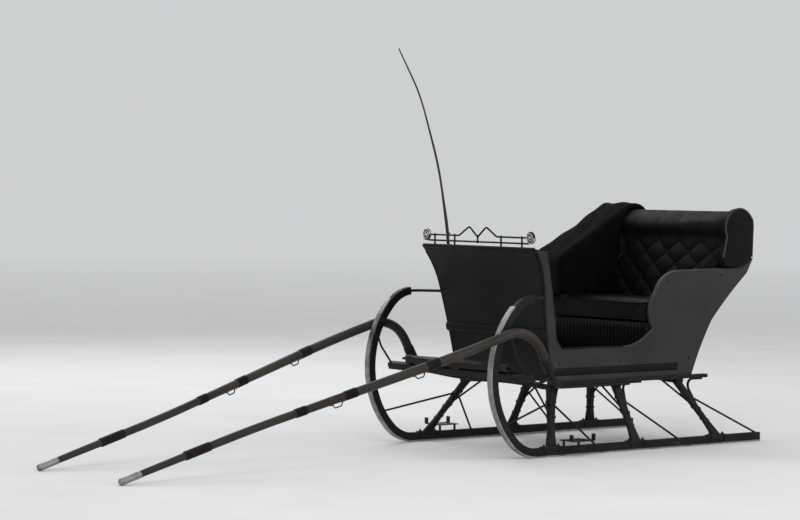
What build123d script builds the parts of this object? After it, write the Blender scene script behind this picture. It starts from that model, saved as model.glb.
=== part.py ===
from build123d import *
import os
from math import asin, atan2, cos, degrees, hypot, radians, sin, sqrt, tan

# A one-seat cutter sleigh, parked with the tips of its shafts on the ground.
# Millimetres. +Z is up, +X is the sleigh's left side, and the shafts point toward -Y.
# Pieces are laid out from the ground point midway between the middle knees. At the end they are
# all moved along Y, so that the origin is on the ground under the middle of the whole length.

SIDES = (("left", 1), ("right", -1))

# Runners: bent wood bars with a steel shoe along the sole and up the curl.
TRACK = 940                  # runner centre to runner centre
RUNNER_WIDTH = 28
RUNNER_DEPTH = 38
SHOE_WIDTH = 30
SHOE_THICKNESS = 7
RUNNER_REAR = 860            # rear end of the sole
CURL_START = -655            # where the sole leaves the ground
CURL_ARCS = (                # centre-line radius, degrees of turn
    (200, -45),
    (433, -45),
    (450, -45),
    (180, -40),
)
SHOE_ARCS = 3                # arcs of the curl that the shoe covers

# Knees: three pairs of posts, splayed outward to the runners.
KNEES = (                    # name, Y of foot, Y of head
    ("front", -557, -430),
    ("middle", 0, 0),
    ("rear", 555, 425),
)
KNEE_HEAD_SPREAD = 322       # from the centre line to a knee's head
KNEE_FOOT = (60, 26)         # along Y, along X
KNEE_NECK = (36, 28)
KNEE_HEAD = (46, 40)
KNEE_NECK_SHARE = 0.3        # height of the neck, as a share of the knee
KNEE_CHAMFER = 0.22          # cut off each corner, as a share of the width along X
BENCH_DEPTH = 34
BENCH_WIDTH = 46
BENCH_ARCH = 12              # how far the middle of a bench is cut up from below
BENCH_OVERHANG = 18          # beyond the knee's centre
RAVE_THICKNESS = 18
RAVE_WIDTH = 32
RAVE_FRONT = -462
RAVE_REAR = 600

# Iron rods of the gear.
STAY_RADIUS = 5
BRACE_RADIUS = 6.5
BENCH_STAY_SPREAD = 200      # from the centre line to the top of a bench stay
BENCH_STAY_GRIP = 0.52       # where it meets the knee, as a share of the knee's height
TAIL_STAY_GRIP = 0.78
TAIL_STAY_REACH = 290        # how far behind the knee's foot the tail stay lands
BRACE_REACH = 170            # how far behind the knee's head the arched brace starts
BRACE_CORNER = 42            # how far behind the head it turns down
BRACE_BEND = 55
BRACE_GRIP = 0.36
NOSE_STAY_HEIGHT = 160       # height on the curl where the nose stay is bolted
BRACKET_RADIUS = 7
BRACKET_RUN = 60             # from the curl back to the bracket's corner
BRACKET_BEND = 48
BRACKET_LANDING = 14         # how far inside the dash's edge the bracket lands

# Body: flared sides, a curled dash and a raked back.
BODY_BOTTOM = 346
HULL_TOP = 1160
HULL_STATIONS = (            # Y, half width at the foot, radius of the flare
    (-700, 350, 3500),
    (-50, 346, 1800),
    (820, 345, 1130),
)
SIDE_WALL = 16
DASH_WALL = 16
DASH_LIP = 6                 # how far the dash stands out past the sides
DASH_FOOT = -465
DASH_LEAN = 101              # degrees from +Y
DASH_STRAIGHT = 463
DASH_CURL = (420, 28)        # radius, degrees of turn
DASH_DROP = 30               # the dash's line starts this far below the body and is cut level
FLOOR_WALL = 16
BACK_WALL = 14
BACK_FOOT = 500              # Y of the back's outer face at the floor
BACK_KINK = (607, 620)       # Y, Z where the lower back meets the upper back
BACK_CORNER = (766, 862)     # Y, Z where the upper back turns upright
BACK_TOP = 1104
BACK_BEND = 150              # radius where the upper back turns upright
UPRIGHT = 88                 # degrees from +Y above the bend
WING_REAR = ((-385, 503), (-424, 548), (-466, 735), (-547, 978))   # Y, Z down the wing's rear edge
SIDE_HOLLOW = ((20, 503), (128, 522), (214, 588))                  # sill to the cusp under the seat
SIDE_SCROLL = ((214, 588), (174, 668), (188, 776))                 # cusp to the waist
SIDE_SHOULDER = ((188, 776), (222, 845), (310, 876))               # waist to the arm
ARM_SWEEP = ((690, 884), (738, 898), (768, 935))                   # arm up to the back's corner

# Seat.
SEAT_FRONT = 186
SEAT_HEIGHT = 600
SEAT_WALL = 14
CUSHION_HEIGHT = 112
CUSHION_OVERHANG = 14
SOFT_GAP = 0.3               # between a soft piece and what it lies on
PAD_FOOT_THICKNESS = 112
PAD_TOP = 1185
PAD_ROLL_RADIUS = 96
PAD_ROLL_END = 210           # degrees from +Y where the roll turns into the front face
PAD_ROLL_SET = 80            # roll's centre ahead of the upper back
PAD_HALF_WIDTH = 494
SIDE_PAD_THICKNESS = 30
SIDE_PAD_SPAN = (262, 500)   # Y of its ends
SIDE_PAD_TOP = 875
ROBE_THICKNESS = 20
ROBE_SPAN = (-486, -262)     # X of its edges
ROBE_SLOPE = 29              # degrees that it falls toward the arm's front
ROBE_REAR_DROP = 160
ROBE_RUN = 506
ROBE_FRONT_BEND = 72
ROBE_FRONT_DROP = 138
ROBE_FALL = (592, 500)       # Y of the inner fall's rear edge, at its head and at its foot

# Dash rail and whip.
RAIL_RADIUS = 4.5
RAIL_HEIGHTS = (1018, 1046)
RAIL_SETBACK = 6.4           # behind the front edge of the dash's top
RAIL_HALF_WIDTH = 377
RAIL_POSTS = (-330, -176, 176, 330)
HUMP_FEET = 142
HUMP_PEAK = 64
HUMP_HEIGHT = 1092
HUMP_BENDS = (30, 16, 14, 16, 30)
SCROLL_RADIUS = 30
SCROLL_PLACE = 394
SCROLL_DISC = 5
SCROLL_TAIL = (              # outward from the scroll's centre, above the dash's top
    (7, 56),
    (12, 16),
    (-10, 0),
)
SCROLL_TAIL_BEND = 12
SOCKET_PLACE = -340          # X of the whip socket
SOCKET_RADIUS = 14
SOCKET_BORE = 9.2
SOCKET_LENGTH = 120
SOCKET_FLOOR = 20            # closed stretch below the bore
SOCKET_DROP = 4              # mouth below the dash's top
STRAP_PLACE = 84             # below the mouth
STRAP_SIZE = (19.6, 36, 16)
WHIP_ROUTE = (               # Y from the socket's mouth, Z above it, rod radius there
    (0, -96, 9.0),
    (0, 50, 8.0),
    (-66, 400, 5.6),
    (-190, 760, 4.2),
    (-330, 985, 3.0),
)
WHIP_BENDS = (900, 1500, 900)

# Steps on the runners.
STEP_SPAN = (-500, -352)     # Y
STEP_OUT = 92                # from the runner's centre
STEP_WALL = 5
STEP_HEIGHT = 72
STEP_LIP = 26
STEP_BEND = 9
STEP_STRAP = 24              # width of the outer strap whose ends turn up
STEP_SETBACK = 12            # tread's ends inside the strap's ends
STEP_LEG_RADIUS = 6
STEP_LEG_INSET = 26

# Shaft couplings: a forked draft iron on each side, with a pin.
PIVOT = (-600, 375)          # Y, Z of the pins' common axis
SHAFT_SPREAD = 520           # centre line to the shaft's heel
PIN_RADIUS = 7
PIN_CLEARANCE = 0.1
EYE_RADIUS = 15
EYE_WIDTH = 30
EAR_GAP = 0.5
EAR_WALL = 8
FORK_REACH = 46              # pin to the web's far face
FORK_ROOM = 21               # pin to the web's near face
FORK_HEIGHT = 22.5
PIN_END = 4                  # past the fork's outer faces
FORK_DIP = 30                # degrees that the fork's stem points below level
DRAFT_ROD_RADIUS = 9
DRAFT_ROD_REAR = 60
DRAFT_ROD_CORNER = -425      # Y where it turns out toward the fork
DRAFT_ROD_BEND = 130

# Shafts, in their working pose, from the pins' axis.
WORKING_SLOPE = 13.4         # degrees that the shafts rise in use
HEEL_OFFSET = 8              # heel's centre behind the pins
HEEL_FOOT = 46               # bottom of the wood above the pins
HEEL_CORNER = 294            # height where the heel's line meets the shaft's line
HEEL_BEND = 180
SHAFT_LENGTH = 2250          # corner to tip
SHAFT_PLAN = (               # distance from the corner, centre line to shaft, rod radius
    (430, 520, 22.5),
    (1560, 352, 18.5),
)
SHAFT_PLAN_BEND = 2600
HEEL_RADIUS = 23
TIP_SPREAD = 338
TIP_RADIUS = 14.5
CAP_LENGTH = 95
CAP_WALL = 2                 # at the tip
CAP_BORE = 15.2              # clears the shaft where the cap starts
GROUND_GAP = 0.2
CUP_WALL = 3                 # iron cup round the heel's foot
CUP_FLOOR = 6
CUP_DEPTH = 62
NECK_SIZE = (22, 18)         # along X, along Y
ARM_WIDTH = 20
ARM_WALL = 9
ARM_RUN = 45
ARM_BEND = (70, -75)         # radius, degrees of turn up to the crossbar
CROSSBAR_PLACE = (-120, 80)  # Y, Z from the pins
CROSSBAR_SECTION = (40, 36)  # along the shafts, across them
CROSSBAR_ROUND = 9
CROSSBAR_OVERHANG = 14       # past the shafts' centre lines
BRACE_ROD_RADIUS = 5
BRACE_ROD_BOW = 18
BRACE_ROD_BEND = 72
TUG_PLACE = 1850             # distance from the corner to the middle of the leather sleeve
TUG_LENGTH = 130
TUG_RADIUS = 21
PLATE_SIZE = 54
PLATE_WALL = 7.4             # lifts the whiffletree clear of the crossbar
BOLT_RADIUS = 8
WHIFFLETREE_HALF = 385
WHIFFLETREE_MIDDLE = 50      # width at the bolt
WHIFFLETREE_END = 28
WHIFFLETREE_THICKNESS = 32
WHIFFLETREE_ROUND = 7
RUN_GAP = 0.3
HEAD_RADIUS = 14
HEAD_HEIGHT = 7
TRACE_PIN_RADIUS = 6
TRACE_PIN_LENGTH = 36
FERRULE_LENGTH = 34
FERRULE_WALL = 2.5

RUNNER_TOP = SHOE_THICKNESS + RUNNER_DEPTH
RAVE_BOTTOM = BODY_BOTTOM - RAVE_THICKNESS
BENCH_BOTTOM = RAVE_BOTTOM - BENCH_DEPTH


# Shapes that several pieces share.

def trail(start, heading, moves):
    """Stations (y, z, angle) along a line: (length, 0) runs straight, (radius, degrees) turns."""
    y, z = start
    angle = radians(heading)
    spans = []
    for reach, turn in moves:
        begin = (y, z, angle)
        if turn == 0:
            y, z = y + reach * cos(angle), z + reach * sin(angle)
            spans.append((begin, None, (y, z, angle)))
            continue
        side = 1 if turn > 0 else -1
        centre = (y - side * reach * sin(angle), z + side * reach * cos(angle))
        stops = []
        for share in (0.5, 1.0):
            swung = angle + radians(turn) * share
            stop_y = centre[0] + side * reach * sin(swung)
            stop_z = centre[1] - side * reach * cos(swung)
            stops.append((stop_y, stop_z, swung))
        y, z, angle = stops[1]
        spans.append((begin, stops[0], stops[1]))
    return spans


def beside(station, offset):
    """Point to the left of a station by the offset."""
    y, z, angle = station
    return (y - sin(angle) * offset, z + cos(angle) * offset)


def trail_edges(spans, offset):
    """Lines and arcs beside the trail."""
    edges = []
    for begin, middle, end in spans:
        if middle is None:
            edges.append(Line(beside(begin, offset), beside(end, offset)))
        else:
            edges.append(ThreePointArc(beside(begin, offset), beside(middle, offset), beside(end, offset)))
    return edges


def ribbon(spans, low, high):
    """Face between two lines beside the trail, in the Y-Z plane."""
    ends = []
    for station in (spans[0][0], spans[-1][2]):
        ends.append(Line(beside(station, low), beside(station, high)))
    return Plane.YZ * make_face(trail_edges(spans, low) + trail_edges(spans, high) + ends)


def wide(face, width, place=0):
    """The face made a solid of this width along X."""
    return Pos(place, 0, 0) * extrude(face, amount=width / 2, both=True)


def tapered(start, end, start_radius, end_radius):
    """A straight round rod."""
    plane = Plane(origin=start, z_dir=end - start)
    length = (end - start).length
    if abs(start_radius - end_radius) < 0.01:
        return Solid.make_cylinder(start_radius, length, plane)
    return Solid.make_cone(start_radius, end_radius, length, plane)


def bent_rod(points, radii, bends):
    """A round rod through corner points, with a bend radius for each inner corner."""
    corners = [Vector(*point) for point in points]
    pieces = []
    start = corners[0]
    start_radius = radii[0]
    for index, bend in enumerate(bends, start=1):
        into = (corners[index] - corners[index - 1]).normalized()
        out = (corners[index + 1] - corners[index]).normalized()
        half_turn = radians(into.get_angle(out)) / 2
        reach = bend * tan(half_turn)
        arc_start = corners[index] - into * reach
        arc_end = corners[index] + out * reach
        inward = (out - into).normalized()
        middle = corners[index] + inward * (bend / cos(half_turn) - bend)
        pieces.append(tapered(start, arc_start, start_radius, radii[index]))
        section = Plane(origin=arc_start, z_dir=into) * Circle(radii[index])
        pieces.append(sweep(section, path=ThreePointArc(arc_start, middle, arc_end)))
        start = arc_end
        start_radius = radii[index]
    pieces.append(tapered(start, corners[-1], start_radius, radii[-1]))
    return Part() + pieces


def mixed(low, high, share):
    """The point at this share of the way from low to high."""
    return tuple(a + (b - a) * share for a, b in zip(low, high))


# Runners and shoes.

SOLE = (RUNNER_REAR - CURL_START, 0)
RUNNER_LINE = trail((RUNNER_REAR, SHOE_THICKNESS + RUNNER_DEPTH / 2), 180, (SOLE,) + CURL_ARCS)
SHOE_LINE = RUNNER_LINE[: SHOE_ARCS + 1]


def curl_point(height):
    """Y of the curl's centre line at this height, on its lower half."""
    lift = radians(-CURL_ARCS[0][1])
    start = RUNNER_LINE[2][0]
    radius = CURL_ARCS[1][0]
    centre_z = start[1] + radius * cos(lift)
    centre_y = start[0] + radius * sin(lift)
    return centre_y - sqrt(radius**2 - (centre_z - height) ** 2)


def runner(side):
    return wide(ribbon(RUNNER_LINE, -RUNNER_DEPTH / 2, RUNNER_DEPTH / 2), RUNNER_WIDTH, side * TRACK / 2)


def shoe(side):
    outside = RUNNER_DEPTH / 2
    return wide(ribbon(SHOE_LINE, outside, outside + SHOE_THICKNESS), SHOE_WIDTH, side * TRACK / 2)


# Knees, benches and raves.

def knee_ends(foot_y, head_y, side):
    foot = (side * TRACK / 2, foot_y, RUNNER_TOP)
    head = (side * KNEE_HEAD_SPREAD, head_y, BENCH_BOTTOM + BENCH_ARCH)
    return foot, head


def knee(foot_y, head_y, side):
    foot, head = knee_ends(foot_y, head_y, side)
    neck = mixed(foot, head, KNEE_NECK_SHARE)
    sections = []
    for centre, (along, across) in ((foot, KNEE_FOOT), (neck, KNEE_NECK), (head, KNEE_HEAD)):
        blank = Rectangle(across, along)
        sections.append(Pos(*centre) * chamfer(blank.vertices(), across * KNEE_CHAMFER))
    return loft(sections, ruled=True)


def bench(head_y):
    half = KNEE_HEAD_SPREAD + BENCH_OVERHANG
    arch_half = KNEE_HEAD_SPREAD - KNEE_HEAD[1]
    top = Line((-half, RAVE_BOTTOM), (half, RAVE_BOTTOM))
    foot = BENCH_BOTTOM + BENCH_ARCH
    feet = [Line((x * half, foot), (x * arch_half, foot)) for x in (-1, 1)]
    arch = ThreePointArc((-arch_half, foot), (0, foot + BENCH_ARCH), (arch_half, foot))
    ends = [Line((x, foot), (x, RAVE_BOTTOM)) for x in (-half, half)]
    face = make_face([top, arch] + ends + feet)
    plane = Plane(origin=(0, head_y, 0), x_dir=(1, 0, 0), z_dir=(0, -1, 0))
    return extrude(plane * face, amount=BENCH_WIDTH / 2, both=True)


def rave(side):
    length = RAVE_REAR - RAVE_FRONT
    outer = HULL_STATIONS[1][1] + RAVE_WIDTH / 2 - SIDE_WALL
    middle = (side * outer, (RAVE_REAR + RAVE_FRONT) / 2, BODY_BOTTOM - RAVE_THICKNESS / 2)
    return Pos(*middle) * Box(RAVE_WIDTH, length, RAVE_THICKNESS)


# Body shell.

def hull(wall):
    """The solid inside the body's outer faces, shrunk by the wall."""
    sections = []
    for y, half_width, flare in HULL_STATIONS:
        spots = []
        for share in (0, 0.5, 1):
            height = (HULL_TOP - BODY_BOTTOM) * share
            x = half_width + flare - sqrt((flare + wall) ** 2 - height**2)
            spots.append((x, BODY_BOTTOM + height))
        mirrored = [(-x, z) for x, z in spots]
        edges = [
            ThreePointArc(*spots),
            ThreePointArc(*mirrored),
            Line(spots[0], mirrored[0]),
            Line(spots[2], mirrored[2]),
        ]
        sections.append(Plane(origin=(0, y, 0), x_dir=(1, 0, 0), z_dir=(0, -1, 0)) * make_face(edges))
    return loft(sections)


OUTER = hull(0)
INNER = hull(SIDE_WALL)
DASH_START = (
    DASH_FOOT - DASH_DROP * cos(radians(DASH_LEAN)),
    BODY_BOTTOM - DASH_DROP * sin(radians(DASH_LEAN)),
)
DASH_LINE = trail(DASH_START, DASH_LEAN, ((DASH_STRAIGHT + DASH_DROP, 0), DASH_CURL))
DASH_TOP = DASH_LINE[-1][2]


def dash():
    board = wide(ribbon(DASH_LINE, -DASH_WALL, 0), 2 * TRACK)
    return board & hull(-DASH_LIP)


DASH_BOARD = dash()


def side_outline():
    """The left side's outline in the Y-Z plane, from the dash to the back."""
    front = trail_edges(DASH_LINE, -DASH_WALL)
    dash_foot = beside(DASH_LINE[0][0], -DASH_WALL)
    dash_head = beside(DASH_TOP, -DASH_WALL)
    back_slope = (BACK_KINK[0] - BACK_FOOT) / (BACK_KINK[1] - BODY_BOTTOM)
    back_foot = (BACK_FOOT - DASH_DROP * back_slope, dash_foot[1])
    return Plane.YZ * make_face(
        front
        + [
            Line(dash_head, WING_REAR[3]),
            ThreePointArc(WING_REAR[3], WING_REAR[2], WING_REAR[1]),
            Line(WING_REAR[1], WING_REAR[0]),
            Line(WING_REAR[0], SIDE_HOLLOW[0]),
            ThreePointArc(*SIDE_HOLLOW),
            ThreePointArc(*SIDE_SCROLL),
            ThreePointArc(*SIDE_SHOULDER),
            Line(SIDE_SHOULDER[2], ARM_SWEEP[0]),
            ThreePointArc(*ARM_SWEEP),
            Line(ARM_SWEEP[2], BACK_CORNER),
            Line(BACK_CORNER, BACK_KINK),
            Line(BACK_KINK, back_foot),
            Line(back_foot, dash_foot),
        ]
    )


def side_panel(side):
    blank = wide(side_outline(), TRACK / 2, side * TRACK / 2)
    return blank & (OUTER - INNER)


def back_line(low, high):
    start = Vector(*low)
    end = Vector(*high)
    run = end - start
    return trail(low, degrees(atan2(run.Y, run.X)), ((run.length, 0),))


LOWER_BACK = back_line((BACK_FOOT, BODY_BOTTOM), BACK_KINK)
BACK_RAKE = degrees(atan2(BACK_CORNER[1] - BACK_KINK[1], BACK_CORNER[0] - BACK_KINK[0]))
CORNER_TRIM = BACK_BEND * tan(radians(UPRIGHT - BACK_RAKE) / 2)
UPPER_BACK = trail(
    BACK_KINK,
    BACK_RAKE,
    (
        (hypot(BACK_CORNER[0] - BACK_KINK[0], BACK_CORNER[1] - BACK_KINK[1]) - CORNER_TRIM, 0),
        (BACK_BEND, UPRIGHT - BACK_RAKE),
        (BACK_TOP - BACK_CORNER[1] - CORNER_TRIM, 0),
    ),
)


def lower_back():
    return wide(ribbon(LOWER_BACK, 0, BACK_WALL), TRACK) & INNER


def upper_back():
    board = wide(ribbon(UPPER_BACK, 0, BACK_WALL), 2 * PAD_HALF_WIDTH)
    below = Pos(0, 0, ARM_SWEEP[2][1] / 2) * Box(2 * TRACK, 4 * TRACK, ARM_SWEEP[2][1])
    return ((board & below) & INNER) + (board - below) - lower_back()


def floor():
    slab = Pos(0, 0, BODY_BOTTOM + FLOOR_WALL / 2) * Box(TRACK, 4 * TRACK, FLOOR_WALL)
    return slab & INNER & cabin()


def cabin():
    """The room between the dash and the back, as wide as the body."""
    dash_foot = beside(DASH_LINE[0][0], -DASH_WALL)
    rear_foot = beside(LOWER_BACK[0][0], BACK_WALL)
    kink = beside(LOWER_BACK[0][2], BACK_WALL)
    corner = beside(UPPER_BACK[1][0], BACK_WALL)
    edges = [
        Line(dash_foot, (rear_foot[0], dash_foot[1])),
        Line((rear_foot[0], dash_foot[1]), rear_foot),
        Line(rear_foot, kink),
        Line(kink, corner),
        Line(corner, beside(DASH_LINE[0][2], -DASH_WALL)),
        Line(beside(DASH_LINE[0][2], -DASH_WALL), dash_foot),
    ]
    return wide(Plane.YZ * make_face(edges), 2 * TRACK)


# Seat.

def seat_riser():
    height = SEAT_HEIGHT - BODY_BOTTOM - FLOOR_WALL
    middle = (0, SEAT_FRONT + SEAT_WALL / 2, SEAT_HEIGHT - height / 2)
    return Pos(*middle) * Box(TRACK, SEAT_WALL, height) & INNER


def seat_board():
    length = 2 * TRACK
    board = Pos(0, SEAT_FRONT + length / 2, SEAT_HEIGHT + SEAT_WALL / 2) * Box(TRACK, length, SEAT_WALL)
    return board & INNER & cabin()


BOARD_FACE = beside(UPPER_BACK[2][2], BACK_WALL + SOFT_GAP)
ROLL_CENTRE = (BOARD_FACE[0] - PAD_ROLL_SET, PAD_TOP - PAD_ROLL_RADIUS)


def roll_point(angle, radius):
    """Point on a circle round the roll's centre, by degrees from +Y."""
    return (ROLL_CENTRE[0] + radius * cos(radians(angle)), ROLL_CENTRE[1] + radius * sin(radians(angle)))


PAD_SHOULDER = roll_point(PAD_ROLL_END, PAD_ROLL_RADIUS)
PAD_SEAT = SEAT_HEIGHT + SEAT_WALL + SOFT_GAP
PAD_FOOT = BACK_KINK[0] + (PAD_SEAT - BACK_KINK[1]) / tan(radians(BACK_RAKE)) - (
    BACK_WALL + SOFT_GAP
) / sin(radians(BACK_RAKE))


def back_pad_face():
    """Section of the padded back, in the Y-Z plane."""
    crown = degrees(asin(min(1, PAD_ROLL_SET / PAD_ROLL_RADIUS)))
    roll_start = roll_point(90 - crown, PAD_ROLL_RADIUS)
    bend = [beside(station, BACK_WALL + SOFT_GAP) for station in UPPER_BACK[1]]
    edges = [
        Line((PAD_FOOT - PAD_FOOT_THICKNESS, PAD_SEAT), (PAD_FOOT, PAD_SEAT)),
        Line((PAD_FOOT, PAD_SEAT), bend[0]),
        ThreePointArc(*bend),
        Line(bend[2], roll_start),
        ThreePointArc(roll_start, roll_point(90, PAD_ROLL_RADIUS), PAD_SHOULDER),
        Line(PAD_SHOULDER, (PAD_FOOT - PAD_FOOT_THICKNESS, PAD_SEAT)),
    ]
    return Plane.YZ * make_face(edges)


def back_pad():
    block = wide(back_pad_face(), 2 * PAD_HALF_WIDTH)
    shelf = ARM_SWEEP[2][1] + SOFT_GAP
    below = Pos(0, 0, shelf / 2) * Box(2 * TRACK, 4 * TRACK, shelf)
    return ((block & below) & hull(SIDE_WALL + SOFT_GAP)) + (block - below)


def cushion():
    low = SEAT_HEIGHT + SEAT_WALL + SOFT_GAP
    front = SEAT_FRONT - CUSHION_OVERHANG
    room = hull(SIDE_WALL + SOFT_GAP)
    block = Pos(0, front + TRACK / 2, low + CUSHION_HEIGHT / 2) * Box(TRACK, TRACK, CUSHION_HEIGHT)
    pad_room = offset_back()
    return block & room & pad_room


def offset_back():
    """Everything ahead of the padded back, less the soft gap."""
    foot = (PAD_FOOT - PAD_FOOT_THICKNESS - 2 * SOFT_GAP, PAD_SEAT - SOFT_GAP)
    shoulder = (PAD_SHOULDER[0] - 2 * SOFT_GAP, PAD_SHOULDER[1])
    outline = [foot, shoulder, (-TRACK, shoulder[1]), (-TRACK, foot[1])]
    edges = [Line(a, b) for a, b in zip(outline, outline[1:] + outline[:1])]
    return wide(Plane.YZ * make_face(edges), 2 * TRACK)


def side_pad(side):
    low = SEAT_HEIGHT + SEAT_WALL + CUSHION_HEIGHT + 2 * SOFT_GAP
    length = SIDE_PAD_SPAN[1] - SIDE_PAD_SPAN[0]
    height = SIDE_PAD_TOP - low
    middle = (side * TRACK / 2, SIDE_PAD_SPAN[0] + length / 2, low + height / 2)
    block = Pos(*middle) * Box(TRACK, length, height)
    skin = hull(SIDE_WALL + SOFT_GAP) - hull(SIDE_WALL + SIDE_PAD_THICKNESS)
    return block & skin & offset_back()


def robe():
    radius = PAD_ROLL_RADIUS + SOFT_GAP + ROBE_THICKNESS / 2
    turn = 90 + ROBE_SLOPE
    moves = (
        (ROBE_REAR_DROP, 0),
        (radius, turn),
        (ROBE_RUN, 0),
        (ROBE_FRONT_BEND, 180 - turn),
        (ROBE_FRONT_DROP, 0),
    )
    line = trail((ROLL_CENTRE[0] + radius, ROLL_CENTRE[1] - ROBE_REAR_DROP), 90, moves)
    width = ROBE_SPAN[1] - ROBE_SPAN[0]
    drape = wide(ribbon(line, -ROBE_THICKNESS / 2, ROBE_THICKNESS / 2), width, sum(ROBE_SPAN) / 2)
    return drape + wide(robe_fall(line), ROBE_THICKNESS, ROBE_SPAN[1] - ROBE_THICKNESS / 2)


def robe_fall(line):
    """Face of the part that hangs from the robe's inner edge to just above the cushion."""
    run_start, run_end = line[2][0], line[2][2]
    share = (run_start[0] - ROBE_FALL[0]) / (run_start[0] - run_end[0])
    head = mixed(run_start[:2], run_end[:2], share)
    front = line[4][2][:2]
    foot = (ROBE_FALL[1], front[1])
    bend = [station[:2] for station in line[3]]
    edges = [
        Line(head, bend[0]),
        ThreePointArc(*bend),
        Line(bend[2], front),
        Line(front, foot),
        Line(foot, head),
    ]
    return Plane.YZ * make_face(edges)


# Dash rail and whip.

RAIL_Y = DASH_TOP[0] + RAIL_SETBACK


def dash_rail():
    low, high = RAIL_HEIGHTS
    lower_ends = [Vector(x, RAIL_Y, low) for x in (-RAIL_HALF_WIDTH, RAIL_HALF_WIDTH)]
    lower = tapered(*lower_ends, RAIL_RADIUS, RAIL_RADIUS)
    route = (
        (-RAIL_HALF_WIDTH, RAIL_Y, high),
        (-HUMP_FEET, RAIL_Y, high),
        (-HUMP_PEAK, RAIL_Y, HUMP_HEIGHT),
        (0, RAIL_Y, high - RAIL_RADIUS),
        (HUMP_PEAK, RAIL_Y, HUMP_HEIGHT),
        (HUMP_FEET, RAIL_Y, high),
        (RAIL_HALF_WIDTH, RAIL_Y, high),
    )
    upper = bent_rod(route, (RAIL_RADIUS,) * len(route), HUMP_BENDS)
    pieces = [lower, upper]
    foot = DASH_TOP[1]
    for x in RAIL_POSTS:
        pieces.append(tapered(Vector(x, RAIL_Y, foot), Vector(x, RAIL_Y, high), RAIL_RADIUS, RAIL_RADIUS))
    pieces.append(tapered(Vector(0, RAIL_Y, low), Vector(0, RAIL_Y, high), RAIL_RADIUS, RAIL_RADIUS))
    for _, side in SIDES:
        centre = Vector(side * SCROLL_PLACE, RAIL_Y, high)
        ring_plane = Plane(origin=centre, z_dir=(0, 1, 0))
        pieces.append(ring_plane * Torus(SCROLL_RADIUS, RAIL_RADIUS))
        pieces.append(ring_plane * Cylinder(SCROLL_RADIUS, SCROLL_DISC))
        tail = [(side * (SCROLL_PLACE + outward), RAIL_Y, foot + up) for outward, up in SCROLL_TAIL]
        pieces.append(bent_rod(tail, (RAIL_RADIUS,) * 3, (SCROLL_TAIL_BEND,)))
    return (Part() + pieces) - DASH_BOARD


SOCKET_Y = beside(DASH_LINE[1][0], -DASH_WALL)[0]
SOCKET_MOUTH = DASH_TOP[1] - SOCKET_DROP


def whip_socket():
    """A closed tube behind the dash, held by one strap."""
    middle = SOCKET_MOUTH - SOCKET_LENGTH / 2
    tube = Pos(SOCKET_PLACE, SOCKET_Y, middle) * Cylinder(SOCKET_RADIUS, SOCKET_LENGTH)
    bore = Pos(SOCKET_PLACE, SOCKET_Y, middle + SOCKET_FLOOR) * Cylinder(SOCKET_BORE, SOCKET_LENGTH)
    strap = Pos(SOCKET_PLACE, SOCKET_Y - STRAP_SIZE[1] / 2, SOCKET_MOUTH - STRAP_PLACE) * Box(*STRAP_SIZE)
    return ((tube + strap) - bore) - DASH_BOARD


def whip():
    points = [(SOCKET_PLACE, SOCKET_Y + ahead, SOCKET_MOUTH + up) for ahead, up, _ in WHIP_ROUTE]
    radii = [radius for _, _, radius in WHIP_ROUTE]
    return bent_rod(points, radii, WHIP_BENDS)


# Iron rods of the gear.

def stays(side):
    """Straight rods: bench to knee, knee to runner behind it, and knee to the runner's curl."""
    rods = []
    for _, foot_y, head_y in KNEES:
        foot, head = knee_ends(foot_y, head_y, side)
        post = knee(foot_y, head_y, side)
        under_bench = (side * BENCH_STAY_SPREAD, head_y, RAVE_BOTTOM - BENCH_ARCH)
        on_runner = (side * TRACK / 2, foot_y + TAIL_STAY_REACH, RUNNER_TOP - STAY_RADIUS)
        routes = (
            (under_bench, mixed(foot, head, BENCH_STAY_GRIP)),
            (mixed(foot, head, TAIL_STAY_GRIP), on_runner),
        )
        for start, end in routes:
            rods.append(tapered(Vector(*start), Vector(*end), STAY_RADIUS, STAY_RADIUS) - post)
    _, foot_y, head_y = KNEES[0]
    foot, head = knee_ends(foot_y, head_y, side)
    nose = (side * TRACK / 2, curl_point(NOSE_STAY_HEIGHT), NOSE_STAY_HEIGHT)
    rod = tapered(Vector(*mixed(foot, head, TAIL_STAY_GRIP)), Vector(*nose), STAY_RADIUS, STAY_RADIUS)
    rods.append(rod - knee(foot_y, head_y, side))
    benches = [bench(head_y) for _, _, head_y in KNEES]
    return Part() + [rod - benches - runner(side) - braces(side) for rod in rods]


def braces(side):
    """Arched irons from under the rave down the back of each knee."""
    rods = []
    height = RAVE_BOTTOM - BRACE_RADIUS
    for _, foot_y, head_y in KNEES:
        foot, head = knee_ends(foot_y, head_y, side)
        points = (
            (side * KNEE_HEAD_SPREAD, head_y + BRACE_REACH, height),
            (side * KNEE_HEAD_SPREAD, head_y + BRACE_CORNER, height),
            mixed(foot, head, BRACE_GRIP),
        )
        rods.append(bent_rod(points, (BRACE_RADIUS,) * 3, (BRACE_BEND,)) - knee(foot_y, head_y, side))
    return Part() + rods


def curl_bracket(side):
    """Iron from the runner's upper end in to the dash's edge."""
    y, z, _ = RUNNER_LINE[-1][2]
    _, half_width, flare = HULL_STATIONS[0]
    edge = half_width + flare - sqrt(flare**2 - (z - BODY_BOTTOM) ** 2)
    share = (z - DASH_LINE[0][0][1]) / (DASH_LINE[0][2][1] - DASH_LINE[0][0][1])
    landing_y, _ = mixed(DASH_LINE[0][0][:2], DASH_LINE[0][2][:2], share)
    points = (
        (side * TRACK / 2, y - BRACKET_RADIUS, z),
        (side * TRACK / 2, y + BRACKET_RUN, z),
        (side * (edge - BRACKET_LANDING), landing_y + DASH_WALL / 2, z),
    )
    rod = bent_rod(points, (BRACKET_RADIUS,) * 3, (BRACKET_BEND,))
    return rod - runner(side) - DASH_BOARD


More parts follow.
